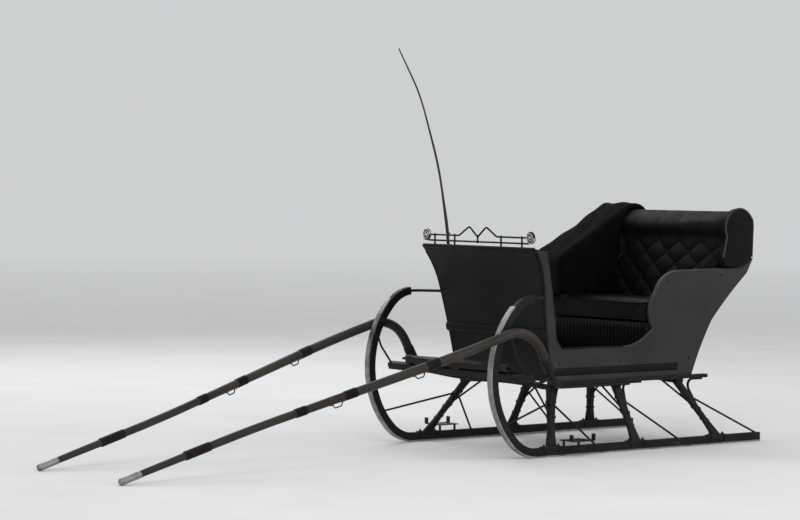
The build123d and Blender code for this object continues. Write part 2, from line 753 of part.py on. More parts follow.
def step(side):
    """A tread on two legs, with a strap along its outer edge that is turned up at both ends."""
    low, high = STEP_SPAN
    straight = high - low - 2 * STEP_BEND
    moves = (
        (STEP_LIP, 0),
        (STEP_BEND, 90),
        (straight, 0),
        (STEP_BEND, 90),
        (STEP_LIP, 0),
    )
    line = trail((low, STEP_HEIGHT + STEP_BEND + STEP_LIP), 270, moves)
    inner = (TRACK - RUNNER_WIDTH) / 2
    outer = TRACK / 2 + STEP_OUT
    strap = wide(ribbon(line, 0, STEP_WALL), STEP_STRAP, side * (outer - STEP_STRAP / 2))
    middle = (side * (inner + outer) / 2, (low + high) / 2, STEP_HEIGHT + STEP_WALL / 2)
    tread = Pos(*middle) * Box(outer - inner, high - low - 2 * STEP_SETBACK, STEP_WALL)
    legs = []
    for y in (low + STEP_LEG_INSET, high - STEP_LEG_INSET):
        foot = Vector(side * TRACK / 2, y, RUNNER_TOP)
        head = Vector(side * TRACK / 2, y, STEP_HEIGHT + STEP_WALL / 2)
        legs.append(tapered(foot, head, STEP_LEG_RADIUS, STEP_LEG_RADIUS))
    return tread + strap + legs


# Draft irons: a rod under the rave that ends in a fork round the shaft's eye, with its pin.

def draft_iron(side):
    pivot_y, pivot_z = PIVOT
    dip = radians(FORK_DIP)
    back = Vector(0, cos(dip), -sin(dip))
    centre = Vector(side * SHAFT_SPREAD, pivot_y, pivot_z)
    ear_place = EYE_WIDTH / 2 + EAR_GAP + EAR_WALL / 2
    fork_plane = Plane(origin=centre, x_dir=back, z_dir=(1, 0, 0))
    ear_face = Circle(EYE_RADIUS) + Pos(FORK_REACH / 2, 0) * Rectangle(FORK_REACH, FORK_HEIGHT)
    pieces = []
    for shift in (-ear_place, ear_place):
        pieces.append(Pos(shift, 0, 0) * extrude(fork_plane * ear_face, amount=EAR_WALL / 2, both=True))
    web_length = FORK_REACH - FORK_ROOM
    web = Pos(FORK_REACH - web_length / 2, 0, 0) * Box(web_length, FORK_HEIGHT, 2 * ear_place)
    pieces.append(fork_plane * web)
    pin_half = ear_place + EAR_WALL / 2 + PIN_END
    pin_plane = Plane(origin=centre - Vector(pin_half, 0, 0), z_dir=(1, 0, 0))
    pieces.append(Solid.make_cylinder(PIN_RADIUS, 2 * pin_half, pin_plane))
    rod_x = side * (HULL_STATIONS[1][1] + RAVE_WIDTH - SIDE_WALL - DRAFT_ROD_RADIUS)
    rod_z = RAVE_BOTTOM - DRAFT_ROD_RADIUS
    points = (
        (rod_x, DRAFT_ROD_REAR, rod_z),
        (rod_x, DRAFT_ROD_CORNER, rod_z),
        tuple(centre + back * (FORK_REACH - web_length / 2)),
    )
    pieces.append(bent_rod(points, (DRAFT_ROD_RADIUS,) * 3, (DRAFT_ROD_BEND,)) - rave(side))
    return Part() + pieces


# Shafts. Each piece is drawn in the working pose from the pins' axis, then dropped to the ground.

SLOPE = radians(WORKING_SLOPE)
AHEAD = Vector(0, -cos(SLOPE), sin(SLOPE))
CAP_RADIUS = TIP_RADIUS + CAP_WALL


def on_shaft(distance, spread, side=1):
    """Point on the shaft's line, by distance from its corner."""
    return Vector(side * spread, HEEL_OFFSET, HEEL_CORNER) + AHEAD * distance


TIP = on_shaft(SHAFT_LENGTH, TIP_SPREAD)
TIP_REACH = hypot(TIP.Y, TIP.Z)
WORKING_ANGLE = degrees(atan2(TIP.Z, -TIP.Y))
PARKED_ANGLE = degrees(asin((CAP_RADIUS + GROUND_GAP - PIVOT[1]) / TIP_REACH))
PARKED_DROP = WORKING_ANGLE - PARKED_ANGLE


def parked(shape):
    return Pos(0, *PIVOT) * Rot(X=PARKED_DROP) * shape


def shaft_rod(side):
    points = [(side * SHAFT_SPREAD, HEEL_OFFSET, height) for height in (HEEL_FOOT, HEEL_CORNER)]
    points += [tuple(on_shaft(distance, spread, side)) for distance, spread, _ in SHAFT_PLAN]
    points.append(tuple(on_shaft(SHAFT_LENGTH, TIP_SPREAD, side)))
    radii = [HEEL_RADIUS, HEEL_RADIUS] + [radius for _, _, radius in SHAFT_PLAN] + [TIP_RADIUS]
    return bent_rod(points, radii, (HEEL_BEND, SHAFT_PLAN_BEND, SHAFT_PLAN_BEND))


def shaft_direction(side):
    """Unit vector along the front stretch of a shaft."""
    distance, spread, _ = SHAFT_PLAN[1]
    return (on_shaft(SHAFT_LENGTH, TIP_SPREAD, side) - on_shaft(distance, spread, side)).normalized()


def tip_cap(side):
    end = on_shaft(SHAFT_LENGTH, TIP_SPREAD, side)
    start = end - shaft_direction(side) * CAP_LENGTH
    cap = tapered(start, end, CAP_RADIUS, CAP_RADIUS) + Pos(end) * Sphere(CAP_RADIUS)
    return cap - tapered(start, end, CAP_BORE, CAP_BORE)


def tug_sleeve(side):
    distance, spread, _ = SHAFT_PLAN[1]
    share = (TUG_PLACE - distance) / (SHAFT_LENGTH - distance)
    middle = on_shaft(TUG_PLACE, spread + (TIP_SPREAD - spread) * share, side)
    half = shaft_direction(side) * (TUG_LENGTH / 2)
    return tapered(middle - half, middle + half, TUG_RADIUS, TUG_RADIUS) - shaft_rod(side)


def bar_plane():
    return Plane(origin=(0, *CROSSBAR_PLACE), x_dir=(1, 0, 0), z_dir=(0, sin(SLOPE), cos(SLOPE)))


def rounded_bar(length, width, thickness, radius):
    bar = Box(length, width, thickness)
    return fillet(bar.edges().filter_by(Axis.X), radius)


def crossbar():
    along, across = CROSSBAR_SECTION
    bar = rounded_bar(2 * (SHAFT_SPREAD + CROSSBAR_OVERHANG), along, across, CROSSBAR_ROUND)
    hole = Cylinder(BOLT_RADIUS, 2 * across)
    return bar_plane() * (bar - hole)


def heel_iron(side):
    """Cup round the heel, eye on the pin, and the arm forward to the crossbar."""
    x = side * SHAFT_SPREAD
    cup_bottom = HEEL_FOOT - CUP_FLOOR
    cup_top = HEEL_FOOT + CUP_DEPTH
    outer = HEEL_RADIUS + CUP_WALL
    cup = tapered(Vector(x, HEEL_OFFSET, cup_bottom), Vector(x, HEEL_OFFSET, cup_top), outer, outer)
    neck = Pos(x, HEEL_OFFSET / 2, cup_bottom / 2) * Box(*NECK_SIZE, cup_bottom)
    eye_plane = Plane(origin=(x - EYE_WIDTH / 2, 0, 0), z_dir=(1, 0, 0))
    eye = Solid.make_cylinder(EYE_RADIUS, EYE_WIDTH, eye_plane)
    arm_line = trail((0, cup_bottom / 2), 180, ((ARM_RUN, 0), ARM_BEND))
    arm = wide(ribbon(arm_line, -ARM_WALL / 2, ARM_WALL / 2), ARM_WIDTH, x)
    bore = Solid.make_cylinder(PIN_RADIUS + PIN_CLEARANCE, EYE_WIDTH, eye_plane)
    return (Part() + [cup, neck, eye, arm]) - bore - shaft_rod(side) - crossbar()


def shaft_brace(side):
    x = side * SHAFT_SPREAD
    bar_y, bar_z = CROSSBAR_PLACE
    top = on_shaft((HEEL_OFFSET - bar_y) / cos(SLOPE), SHAFT_SPREAD, side)
    points = (
        (x, bar_y, bar_z),
        (x, bar_y - BRACE_ROD_BOW, (bar_z + top.Z) / 2),
        tuple(top),
    )
    rod = bent_rod(points, (BRACE_ROD_RADIUS,) * 3, (BRACE_ROD_BEND,))
    return rod - shaft_rod(side) - crossbar()


def whiffletree_level():
    """Height of the whiffletree's middle above the crossbar's middle."""
    return CROSSBAR_SECTION[1] / 2 + PLATE_WALL + RUN_GAP + WHIFFLETREE_THICKNESS / 2


def whiffletree_bolt():
    half = CROSSBAR_SECTION[1] / 2
    top = whiffletree_level() + WHIFFLETREE_THICKNESS / 2 + RUN_GAP
    plate = Pos(0, 0, half + PLATE_WALL / 2) * Box(PLATE_SIZE, CROSSBAR_SECTION[0], PLATE_WALL)
    bottom = -half - HEAD_HEIGHT
    shank = Pos(0, 0, (top + bottom) / 2) * Cylinder(BOLT_RADIUS, top - bottom)
    head = Pos(0, 0, top + HEAD_HEIGHT / 2) * Cylinder(HEAD_RADIUS, HEAD_HEIGHT)
    nut = Pos(0, 0, -half - HEAD_HEIGHT / 2) * Cylinder(HEAD_RADIUS, HEAD_HEIGHT)
    return bar_plane() * (plate + shank + head + nut)


def whiffletree_blank():
    half, middle, end = WHIFFLETREE_HALF, WHIFFLETREE_MIDDLE / 2, WHIFFLETREE_END / 2
    edges = [
        ThreePointArc((-half, -end), (0, -middle), (half, -end)),
        ThreePointArc((-half, end), (0, middle), (half, end)),
        Line((-half, -end), (-half, end)),
        Line((half, -end), (half, end)),
    ]
    bar = extrude(make_face(edges), amount=WHIFFLETREE_THICKNESS / 2, both=True)
    return fillet(bar.edges().filter_by(lambda edge: edge.length > half), WHIFFLETREE_ROUND)


def whiffletree():
    bar = whiffletree_blank() - Cylinder(BOLT_RADIUS + PIN_CLEARANCE, 2 * WHIFFLETREE_THICKNESS)
    return bar_plane() * Pos(0, 0, whiffletree_level()) * bar


def whiffletree_irons():
    """Caps on the whiffletree's ends, each with a pin for a trace."""
    irons = []
    for _, side in SIDES:
        width = WHIFFLETREE_END + 2 * FERRULE_WALL
        thickness = WHIFFLETREE_THICKNESS + 2 * FERRULE_WALL
        cap = rounded_bar(FERRULE_LENGTH, width, thickness, WHIFFLETREE_ROUND)
        cap = Pos(side * (WHIFFLETREE_HALF - FERRULE_LENGTH / 2 + FERRULE_WALL), 0, 0) * cap
        start = WHIFFLETREE_HALF + FERRULE_WALL
        pin = Pos(side * (start + TRACE_PIN_LENGTH / 2), 0, 0) * Rot(Y=90) * Cylinder(
            TRACE_PIN_RADIUS, TRACE_PIN_LENGTH
        )
        irons.append((cap + pin) - whiffletree_blank())
    return bar_plane() * Pos(0, 0, whiffletree_level()) * (Part() + irons)


# The whole sleigh.

parts = {}
for name, side in SIDES:
    parts[f"runner_{name}"] = runner(side)
    parts[f"shoe_{name}"] = shoe(side)
    parts[f"rave_{name}"] = rave(side)
    parts[f"stays_{name}"] = stays(side)
    parts[f"braces_{name}"] = braces(side)
    parts[f"curl_bracket_{name}"] = curl_bracket(side)
    parts[f"step_{name}"] = step(side)
    parts[f"draft_iron_{name}"] = draft_iron(side)
    parts[f"side_panel_{name}"] = side_panel(side)
    parts[f"side_pad_{name}"] = side_pad(side)
    for knee_name, foot_y, head_y in KNEES:
        parts[f"knee_{knee_name}_{name}"] = knee(foot_y, head_y, side)
    parts[f"shaft_{name}"] = parked(shaft_rod(side))
    parts[f"heel_iron_{name}"] = parked(heel_iron(side))
    parts[f"shaft_brace_{name}"] = parked(shaft_brace(side))
    parts[f"tip_cap_{name}"] = parked(tip_cap(side))
    parts[f"tug_sleeve_{name}"] = parked(tug_sleeve(side))
for knee_name, _, head_y in KNEES:
    parts[f"bench_{knee_name}"] = bench(head_y)
parts["dash"] = DASH_BOARD
parts["lower_back"] = lower_back()
parts["upper_back"] = upper_back()
parts["floor"] = floor()
parts["seat_riser"] = seat_riser()
parts["seat_board"] = seat_board()
parts["back_pad"] = back_pad()
parts["seat_cushion"] = cushion()
parts["robe"] = robe()
parts["dash_rail"] = dash_rail()
parts["whip_socket"] = whip_socket()
parts["whip"] = whip()
parts["crossbar"] = parked(crossbar())
parts["whiffletree_bolt"] = parked(whiffletree_bolt())
parts["whiffletree"] = parked(whiffletree())
parts["whiffletree_irons"] = parked(whiffletree_irons())

boxes = [shape.bounding_box() for shape in parts.values()]
middle_y = (min(box.min.Y for box in boxes) + max(box.max.Y for box in boxes)) / 2
os.makedirs("parts", exist_ok=True)
for name, shape in parts.items():
    export_step(Pos(0, -middle_y, 0) * shape, f"parts/{name}.step")
print("moved along Y by", round(-middle_y, 3), "and parked by", round(PARKED_DROP, 3), "degrees")
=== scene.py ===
from math import atan2, ceil, cos, exp, hypot, pi, radians, sin, sqrt

import bmesh
import bpy
from mathutils import Matrix, Vector
from mathutils.bvhtree import BVHTree


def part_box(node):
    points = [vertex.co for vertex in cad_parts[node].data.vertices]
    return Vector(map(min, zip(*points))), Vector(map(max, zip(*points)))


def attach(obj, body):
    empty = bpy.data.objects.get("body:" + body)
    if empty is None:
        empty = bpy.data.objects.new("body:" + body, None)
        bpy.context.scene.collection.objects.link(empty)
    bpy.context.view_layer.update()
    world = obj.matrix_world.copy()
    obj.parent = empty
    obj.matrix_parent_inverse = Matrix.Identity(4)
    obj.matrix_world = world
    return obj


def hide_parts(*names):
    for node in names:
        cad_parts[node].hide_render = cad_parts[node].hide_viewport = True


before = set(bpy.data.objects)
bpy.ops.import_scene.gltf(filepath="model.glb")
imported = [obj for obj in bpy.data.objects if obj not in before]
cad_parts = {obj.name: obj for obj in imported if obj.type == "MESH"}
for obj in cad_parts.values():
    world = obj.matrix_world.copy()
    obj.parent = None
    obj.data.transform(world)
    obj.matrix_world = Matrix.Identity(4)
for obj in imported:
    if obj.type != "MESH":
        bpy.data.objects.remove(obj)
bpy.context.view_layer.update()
print("frame loaded:", len(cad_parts), "nodes")

# Metres, +Z up, the shafts toward -Y. Places are given from the ground between the middle knees,
# and the model's own zero is this far in front of them.
middleKnees = 1.02849
sides = {"left": 1, "right": -1}
leftward, upward = Vector((1, 0, 0)), Vector((0, 0, 1))
pointed = 1e-6     # a radius under this is a point


def at(x, y, z):
    return Vector((x, y + middleKnees, z))


def clamped(value):
    return max(0, min(1, value))


def inScene(name, data):
    made = bpy.data.objects.new(name, data)
    bpy.context.scene.collection.objects.link(made)
    return made


def meshFrom(form, name, smooth=50):
    # closes the bmesh into a mesh, smooth except over edges sharper than the angle
    bmesh.ops.recalc_face_normals(form, faces=form.faces)
    for face in form.faces:
        face.smooth = True
    for edge in form.edges:
        if len(edge.link_faces) == 2 and edge.calc_face_angle(0) > radians(smooth):
            edge.smooth = False
    mesh = bpy.data.meshes.new(name)
    form.to_mesh(mesh)
    form.free()
    return mesh


def dress(piece, material, body="sleigh"):
    # the piece's finish and the body it moves with
    piece.data.materials.clear()
    piece.data.materials.append(material)
    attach(piece, body)


def addPiece(name, form, material, body="sleigh", smooth=50):
    piece = inScene(name, meshFrom(form, name, smooth))
    dress(piece, material, body)
    return piece


# Points and lines.

def between(low, high, count):
    # evenly spaced values, both ends among them
    return [low + (high - low) * i / count for i in range(count + 1)]


def arcThrough(start, middle, end, count):
    (ax, ay), (bx, by), (cx, cy) = start, middle, end
    d = 2 * (ax * (by - cy) + bx * (cy - ay) + cx * (ay - by))
    a, b, c = ax * ax + ay * ay, bx * bx + by * by, cx * cx + cy * cy
    midX = (a * (by - cy) + b * (cy - ay) + c * (ay - by)) / d
    midY = (a * (cx - bx) + b * (ax - cx) + c * (bx - ax)) / d
    radius = hypot(ax - midX, ay - midY)
    first = atan2(ay - midY, ax - midX)
    whole = (atan2(cy - midY, cx - midX) - first) % (2 * pi)
    part = (atan2(by - midY, bx - midX) - first) % (2 * pi)
    if part > whole:
        whole -= 2 * pi
    turns = between(first, first + whole, count)
    return [(midX + radius * cos(turn), midY + radius * sin(turn)) for turn in turns]


def moveLength(reach, turn):
    # of a move: (length, 0) runs straight, (radius, degrees) turns
    return reach if turn == 0 else reach * abs(radians(turn))


def trailPoints(start, heading, moves, step):
    # (y, z, heading) along the line that the moves make
    y, z = start
    angle = radians(heading)
    stations = [(y, z, angle)]
    for reach, turn in moves:
        length = moveLength(reach, turn)
        count = max(2, ceil(length / step))
        for _ in range(count):
            swing = radians(turn) / count
            along = length / count
            y += along * cos(angle + swing / 2)
            z += along * sin(angle + swing / 2)
            angle += swing
            stations.append((y, z, angle))
    return stations


def spaced(points, step):
    # the same line with points about one step apart
    result = [points[0]]
    for low, high in zip(points, points[1:]):
        count = max(1, round((Vector(high) - Vector(low)).length / step))
        for share in between(0, 1, count)[1:]:
            result.append(tuple(Vector(low).lerp(Vector(high), share)))
    return result


def outOf(heading):
    # square to a line in the Y-Z plane, on its right
    return Vector((0, sin(heading), -cos(heading)))


def alongPath(path):
    # each place (y, z) of a line, with the line's direction there
    last = len(path) - 1
    for i, (y, z) in enumerate(path):
        before, after = path[max(i - 1, 0)], path[min(i + 1, last)]
        yield y, z, Vector((0, after[0] - before[0], after[1] - before[1])).normalized()


# Solid forms.

def oval(width, height, count=12):
    turns = between(0, 2 * pi, count)[:-1]
    return [(width / 2 * cos(turn), height / 2 * sin(turn)) for turn in turns]


def halfRound(width, height, count=7, sunk=0.002):
    arch = [(width / 2 * cos(turn), height * sin(turn)) for turn in between(0, pi, count - 1)]
    return arch + [(-width / 2, -sunk), (width / 2, -sunk)]


def skin(form, rings, around=True):
    # faces between neighbouring rings, and over both ends of a closed form; one place alone is a tip
    rings = [[form.verts.new(place) for place in ring] for ring in rings]
    for low, high in zip(rings, rings[1:]):
        count = max(len(low), len(high))
        for i in range(count if around else count - 1):
            j = (i + 1) % count
            if len(low) == 1:
                corners = (low[0], high[i], high[j])
            elif len(high) == 1:
                corners = (low[i], low[j], high[0])
            else:
                corners = (low[i], low[j], high[j], high[i])
            form.faces.new(corners)
    for ring in (rings[0], rings[-1]):
        if around and len(ring) > 1:
            form.faces.new(ring)


def addSweep(form, stations, profile):
    # stations are (point, across, out), and the profile is measured along across and out
    skin(form, [[point + across * a + out * b for a, b in profile] for point, across, out in stations])


def addTube(form, points, radius, count=8):
    last = len(points) - 1
    across = None
    stations = []
    for i, point in enumerate(points):
        along = (points[min(i + 1, last)] - points[max(i - 1, 0)]).normalized()
        across = across or along.orthogonal()
        across = (across - along * across.dot(along)).normalized()
        stations.append((point, across * radius, along.cross(across) * radius))
    addSweep(form, stations, oval(2, 2, count))


def addLathe(form, base, axis, profile, count=14):
    # profile is (height along the axis, radius)
    axis = axis.normalized()
    across = axis.orthogonal().normalized()
    out = axis.cross(across)
    rings = []
    for height, radius in profile:
        centre = base + axis * height
        ring = [centre + across * radius * a + out * radius * b for a, b in oval(2, 2, count)]
        rings.append([centre] if radius < pointed else ring)
    skin(form, rings)


def addBolt(form, base, axis, radius, height):
    # a domed head, 2 mm of it sunk
    dome = [(height * up, radius * out) for up, out in ((0, 1), (0.5, 0.88), (0.86, 0.5), (1, 0))]
    addLathe(form, base, axis, [(-0.002, radius)] + dome, 12)


def addNut(form, base, axis, radius, height):
    # six sides, a little rounded on top, and the rod's end through it
    rod = radius / 2
    addLathe(form, base, axis, [(-0.001, radius), (height * 0.8, radius), (height, radius * 0.86)], 6)
    addLathe(form, base, axis, [(0, rod), (height + 0.004, rod), (height + 0.006, rod * 0.6)], 10)


def treeOf(piece):
    mesh = piece.data
    return BVHTree.FromPolygons([v.co for v in mesh.vertices], [p.vertices for p in mesh.polygons])


def rayHit(tree, start, direction):
    # the place that a ray meets and the normal there, turned toward where it came from
    place, normal, _, _ = tree.ray_cast(start, direction)
    if place and normal.dot(direction) > 0:
        normal.negate()
    return place, normal


# Materials. Each is a tree of noise, bevel and bump nodes on the place in the model.

def feed(tree, node, values):
    # links what comes from another node, and sets the rest on the node's own sockets
    for key, value in values.items():
        if isinstance(value, bpy.types.NodeSocket):
            tree.links.new(value, node.inputs[key])
        else:
            node.inputs[key].default_value = value


def addNode(tree, kind, values, **settings):
    made = tree.nodes.new("ShaderNode" + kind)
    for key, value in settings.items():
        setattr(made, key, value)
    feed(tree, made, values)
    return made


def startMaterial(name):
    material = bpy.data.materials.new(name)
    material.use_nodes = True
    tree = material.node_tree
    place = addNode(tree, "TexCoord", {}).outputs["Object"]
    return material, tree, tree.nodes["Principled BSDF"], place


def stretched(tree, place, scale):
    return addNode(tree, "Mapping", {"Vector": place, "Scale": scale}).outputs["Vector"]


def noise(tree, place, scale, detail=4, roughness=0.55, distortion=0):
    values = {"Vector": place, "Scale": scale, "Detail": detail, "Roughness": roughness,
              "Distortion": distortion}
    return addNode(tree, "TexNoise", values).outputs["Fac"]


def spread(tree, value, low, high, toLow=0.0, toHigh=1.0):
    values = {"Value": value, "From Min": low, "From Max": high, "To Min": toLow, "To Max": toHigh}
    return addNode(tree, "MapRange", values).outputs["Result"]


def times(tree, first, second, operation="MULTIPLY"):
    return addNode(tree, "Math", {0: first, 1: second}, operation=operation).outputs[0]


def mixColour(tree, share, first, second):
    # the colour sockets of a mix node are its seventh and eighth
    return addNode(tree, "Mix", {0: share, 6: first, 7: second}, data_type="RGBA").outputs[2]


def shade(colour, share, lift=0):
    return tuple(min(1, c * share + lift) for c in colour[:3]) + (1,)


def wornEdges(tree, place, radius, amount):
    # 1 along the edges, broken up by noise
    rounded = addNode(tree, "Bevel", {"Radius": radius}, samples=4).outputs["Normal"]
    flat = addNode(tree, "NewGeometry", {}).outputs["Normal"]
    dot = addNode(tree, "VectorMath", {0: rounded, 1: flat}, operation="DOT_PRODUCT").outputs["Value"]
    edge = spread(tree, dot, 0.985, 0.80)
    broken = spread(tree, noise(tree, place, 38, 6, 0.65), 0.62 - 0.3 * amount, 0.78 - 0.2 * amount)
    return times(tree, edge, broken)


def bump(tree, height, strength, distance):
    values = {"Height": height, "Strength": strength, "Distance": distance}
    return addNode(tree, "Bump", values).outputs["Normal"]


def coachPaint(name, colour, worn, gloss=0.32, grain=(8, 1.2, 8), wear=0.5, shine=0.24):
    # brushed coach paint over boards, dull with age, rubbed through along the edges
    material, tree, shader, place = startMaterial(name)
    broad = noise(tree, place, 2.6, 5, 0.6)
    fine = noise(tree, stretched(tree, place, grain), 14, 6, 0.6)
    patches = spread(tree, broad, 0.32, 0.68)
    base = mixColour(tree, patches, shade(colour, 0.62), shade(colour, 1.32, 0.004))
    dusty = mixColour(tree, spread(tree, fine, 0.58, 0.85, 0, 0.05), base, (0.25, 0.245, 0.235, 1))
    edges = wornEdges(tree, place, 0.0025, wear)
    feed(tree, shader, {
        "Base Color": mixColour(tree, edges, dusty, worn),
        "Roughness": spread(tree, fine, 0.3, 0.75, gloss, gloss + 0.22),
        "Specular IOR Level": shine,
        "Coat Weight": 0.03,
        "Coat Roughness": 0.2,
        "Normal": bump(tree, fine, 0.18, 0.0012),
    })
    return material


def paintedWood(name, colour, bare, grain, wear=0.6, roughness=0.5):
    # dark painted ash whose long grain shows, worn to the wood along the edges
    material, tree, shader, place = startMaterial(name)
    fibres = noise(tree, stretched(tree, place, grain), 20, 8, 0.62, 0.4)
    broad = noise(tree, place, 3.4, 4)
    base = mixColour(tree, spread(tree, broad, 0.35, 0.65), shade(colour, 0.55), colour)
    patches = spread(tree, noise(tree, place, 11, 5), 0.5, 0.64)
    scuffed = times(tree, spread(tree, fibres, 0.55, 0.72), patches)
    worn = mixColour(tree, times(tree, scuffed, 0.55), base, bare)
    edges = wornEdges(tree, place, 0.004, wear)
    feed(tree, shader, {
        "Base Color": mixColour(tree, edges, worn, bare),
        "Roughness": spread(tree, fibres, 0.3, 0.7, roughness - 0.1, roughness + 0.2),
        "Specular IOR Level": 0.2,
        "Normal": bump(tree, fibres, 0.35, 0.0015),
    })
    return material


def forgedIron(name, colour, edgeColour, roughness=0.46, wear=0.55):
    # hammered iron under black paint, bright where it rubs
    material, tree, shader, place = startMaterial(name)
    hammered = noise(tree, place, 70, 3, 0.5)
    patches = noise(tree, place, 16, 6, 0.65)
    rust = mixColour(tree, spread(tree, patches, 0.6, 0.74, 0, 0.35), colour, (0.022, 0.012, 0.008, 1))
    edges = wornEdges(tree, place, 0.0018, wear)
    feed(tree, shader, {
        "Base Color": mixColour(tree, edges, rust, edgeColour),
        "Metallic": spread(tree, edges, 0, 1, 0, 0.8),
        "Roughness": spread(tree, patches, 0.3, 0.7, roughness - 0.1, roughness + 0.2),
        "Specular IOR Level": 0.22,
        "Normal": bump(tree, hammered, 0.3, 0.0012),
    })
    return material


def rubbedSteel(name, colour, grain, roughness=0.3):
    # steel kept bright by snow, scratched along its length, grey in the hollows
    material, tree, shader, place = startMaterial(name)
    scratches = noise(tree, stretched(tree, place, grain), 60, 5, 0.7)
    patches = noise(tree, place, 22, 5, 0.6)
    feed(tree, shader, {
        "Base Color": mixColour(tree, spread(tree, patches, 0.45, 0.7), colour, shade(colour, 0.45)),
        "Roughness": spread(tree, scratches, 0.3, 0.7, roughness, roughness + 0.28),
        "Metallic": 1.0,
        "Normal": bump(tree, scratches, 0.15, 0.0006),
    })
    return material


def softLeather(name, colour, grainSize, roughness, rubbed):
    # pebbled leather with creases, lighter where it is rubbed
    material, tree, shader, place = startMaterial(name)
    values = {"Vector": place, "Scale": 1 / grainSize}
    cells = addNode(tree, "TexVoronoi", values, feature="DISTANCE_TO_EDGE").outputs["Distance"]
    pebbles = spread(tree, cells, 0, 0.22)
    creases = noise(tree, place, 26, 7, 0.7, 0.6)
    patches = noise(tree, place, 5, 5, 0.6)
    base = mixColour(tree, spread(tree, patches, 0.35, 0.7), colour, shade(colour, 1.7))
    feed(tree, shader, {
        "Base Color": mixColour(tree, spread(tree, creases, 0.62, 0.78, 0, 0.22), base, rubbed),
        "Roughness": spread(tree, creases, 0.3, 0.7, roughness - 0.08, roughness + 0.16),
        "Specular IOR Level": 0.09,
        "Normal": bump(tree, times(tree, times(tree, pebbles, 0.5), creases, "ADD"), 0.4, 0.0012),
    })
    return material


def pileCloth(name, colour, tip, scale, roughness=0.92):
    # pile cloth with painted sheen: lighter and darker patches where the pile leans one way and the other,
    # and lighter raised tufts
    material, tree, shader, place = startMaterial(name)
    tufts = noise(tree, stretched(tree, place, (1, 1, 0.6)), scale, 6, 0.7, 1.2)
    napSheen = noise(tree, place, 9, 5, 0.6, 0.8)
    # painted sheen: patches between the cloth's colour and the lighter sheen colour, where the pile's lean
    # catches the light
    base = mixColour(tree, spread(tree, napSheen, 0.38, 0.66), colour, tip)
    feed(tree, shader, {
        # painted highlight: the raised tufts are given the lighter sheen colour
        "Base Color": mixColour(tree, spread(tree, tufts, 0.5, 0.75, 0, 0.5), base, tip),
        "Roughness": roughness,
        "Sheen Weight": 0.02,
        "Sheen Roughness": 0.4,
        "Sheen Tint": (0.5, 0.5, 0.52, 1),
        "Specular IOR Level": 0.08,
        "Normal": bump(tree, tufts, 0.8, 0.004),
    })
    return material


def braidedLeather(name, colour, rubbed):
    # plaited strands wound round the whip, as two crossing waves
    material, tree, shader, place = startMaterial(name)
    axes = addNode(tree, "SeparateXYZ", {"Vector": place}).outputs
    height, across = times(tree, axes["Z"], 620), times(tree, axes["X"], 900)
    waves = []
    for operation in ("ADD", "SUBTRACT"):
        slant = times(tree, height, across, operation)
        waves.append(addNode(tree, "Math", {0: slant}, operation="SINE").outputs[0])
    strands = times(tree, *waves)
    feed(tree, shader, {
        "Base Color": mixColour(tree, spread(tree, strands, 0.1, 0.9), colour, rubbed),
        "Roughness": 0.45,
        "Normal": bump(tree, strands, 0.5, 0.0008),
    })
    return material


paints = {
    "side": (0.0180, 0.0192, 0.0186, 1),
    "dash": (0.0034, 0.0038, 0.0037, 1),
    "bead": (0.046, 0.045, 0.042, 1),
    "rubbedBead": (0.28, 0.27, 0.25, 1),
    "trim": (0.0020, 0.0021, 0.0021, 1),
    "gear": (0.0058, 0.0049, 0.0043, 1),
    "shaft": (0.037, 0.030, 0.0245, 1),
    "rubbedShaft": (0.17, 0.13, 0.09, 1),
    "bareWood": (0.105, 0.078, 0.052, 1),
    "primer": (0.12, 0.117, 0.11, 1),
    "inside": (0.010, 0.0085, 0.0072, 1),
    "iron": (0.0050, 0.0050, 0.0054, 1),
    "rubbedIron": (0.15, 0.145, 0.14, 1),
    "steel": (0.31, 0.31, 0.315, 1),
    "silver": (0.56, 0.55, 0.52, 1),
    "leather": (0.0018, 0.0017, 0.0017, 1),
    "rubbedLeather": (0.019, 0.017, 0.015, 1),
    "piping": (0.036, 0.034, 0.031, 1),
    "rubbedPiping": (0.11, 0.10, 0.09, 1),
    "harness": (0.0085, 0.0060, 0.0045, 1),
    "rubbedHarness": (0.052, 0.036, 0.025, 1),
    "whip": (0.005, 0.0045, 0.004, 1),
    "rubbedWhip": (0.026, 0.020, 0.016, 1),
    "robe": (0.0010, 0.0010, 0.0011, 1),
    # painted sheen on the robe's pile
    "robeSheen": (0.0036, 0.0036, 0.0040, 1),
    "carpet": (0.0075, 0.0048, 0.0045, 1),
    # painted sheen on the carpet's pile
    "carpetSheen": (0.020, 0.013, 0.012, 1),
}
sidePaint = coachPaint("sidePaint", paints["side"], paints["primer"], 0.34)
dashPaint = coachPaint("dashPaint", paints["dash"], paints["primer"], 0.36, (6, 6, 1.5), 0.35, 0.09)
beadPaint = coachPaint("beadPaint", paints["bead"], paints["rubbedBead"], 0.3, (8, 8, 8), 0.3)
darkTrim = coachPaint("darkTrim", paints["trim"], paints["primer"], 0.34, (8, 1.5, 8), 0.35, 0.09)
gearAlong = paintedWood("gearAlong", paints["gear"], paints["bareWood"], (5, 0.35, 5), 0.4)
gearAcross = paintedWood("gearAcross", paints["gear"], paints["bareWood"], (0.35, 5, 5), 0.4)
gearUp = paintedWood("gearUp", paints["gear"], paints["bareWood"], (5, 5, 0.4), 0.4)
shaftWood = paintedWood("shaftWood", paints["shaft"], paints["rubbedShaft"], (6, 0.3, 2), 0.7, 0.42)
innerWood = paintedWood("innerWood", paints["inside"], paints["bareWood"], (5, 0.4, 5), 0.3, 0.6)
blackIron = forgedIron("blackIron", paints["iron"], paints["rubbedIron"])
brightSteel = rubbedSteel("brightSteel", paints["steel"], (6, 0.5, 6))
rosetteMetal = rubbedSteel("rosetteMetal", paints["silver"], (4, 4, 4), 0.26)
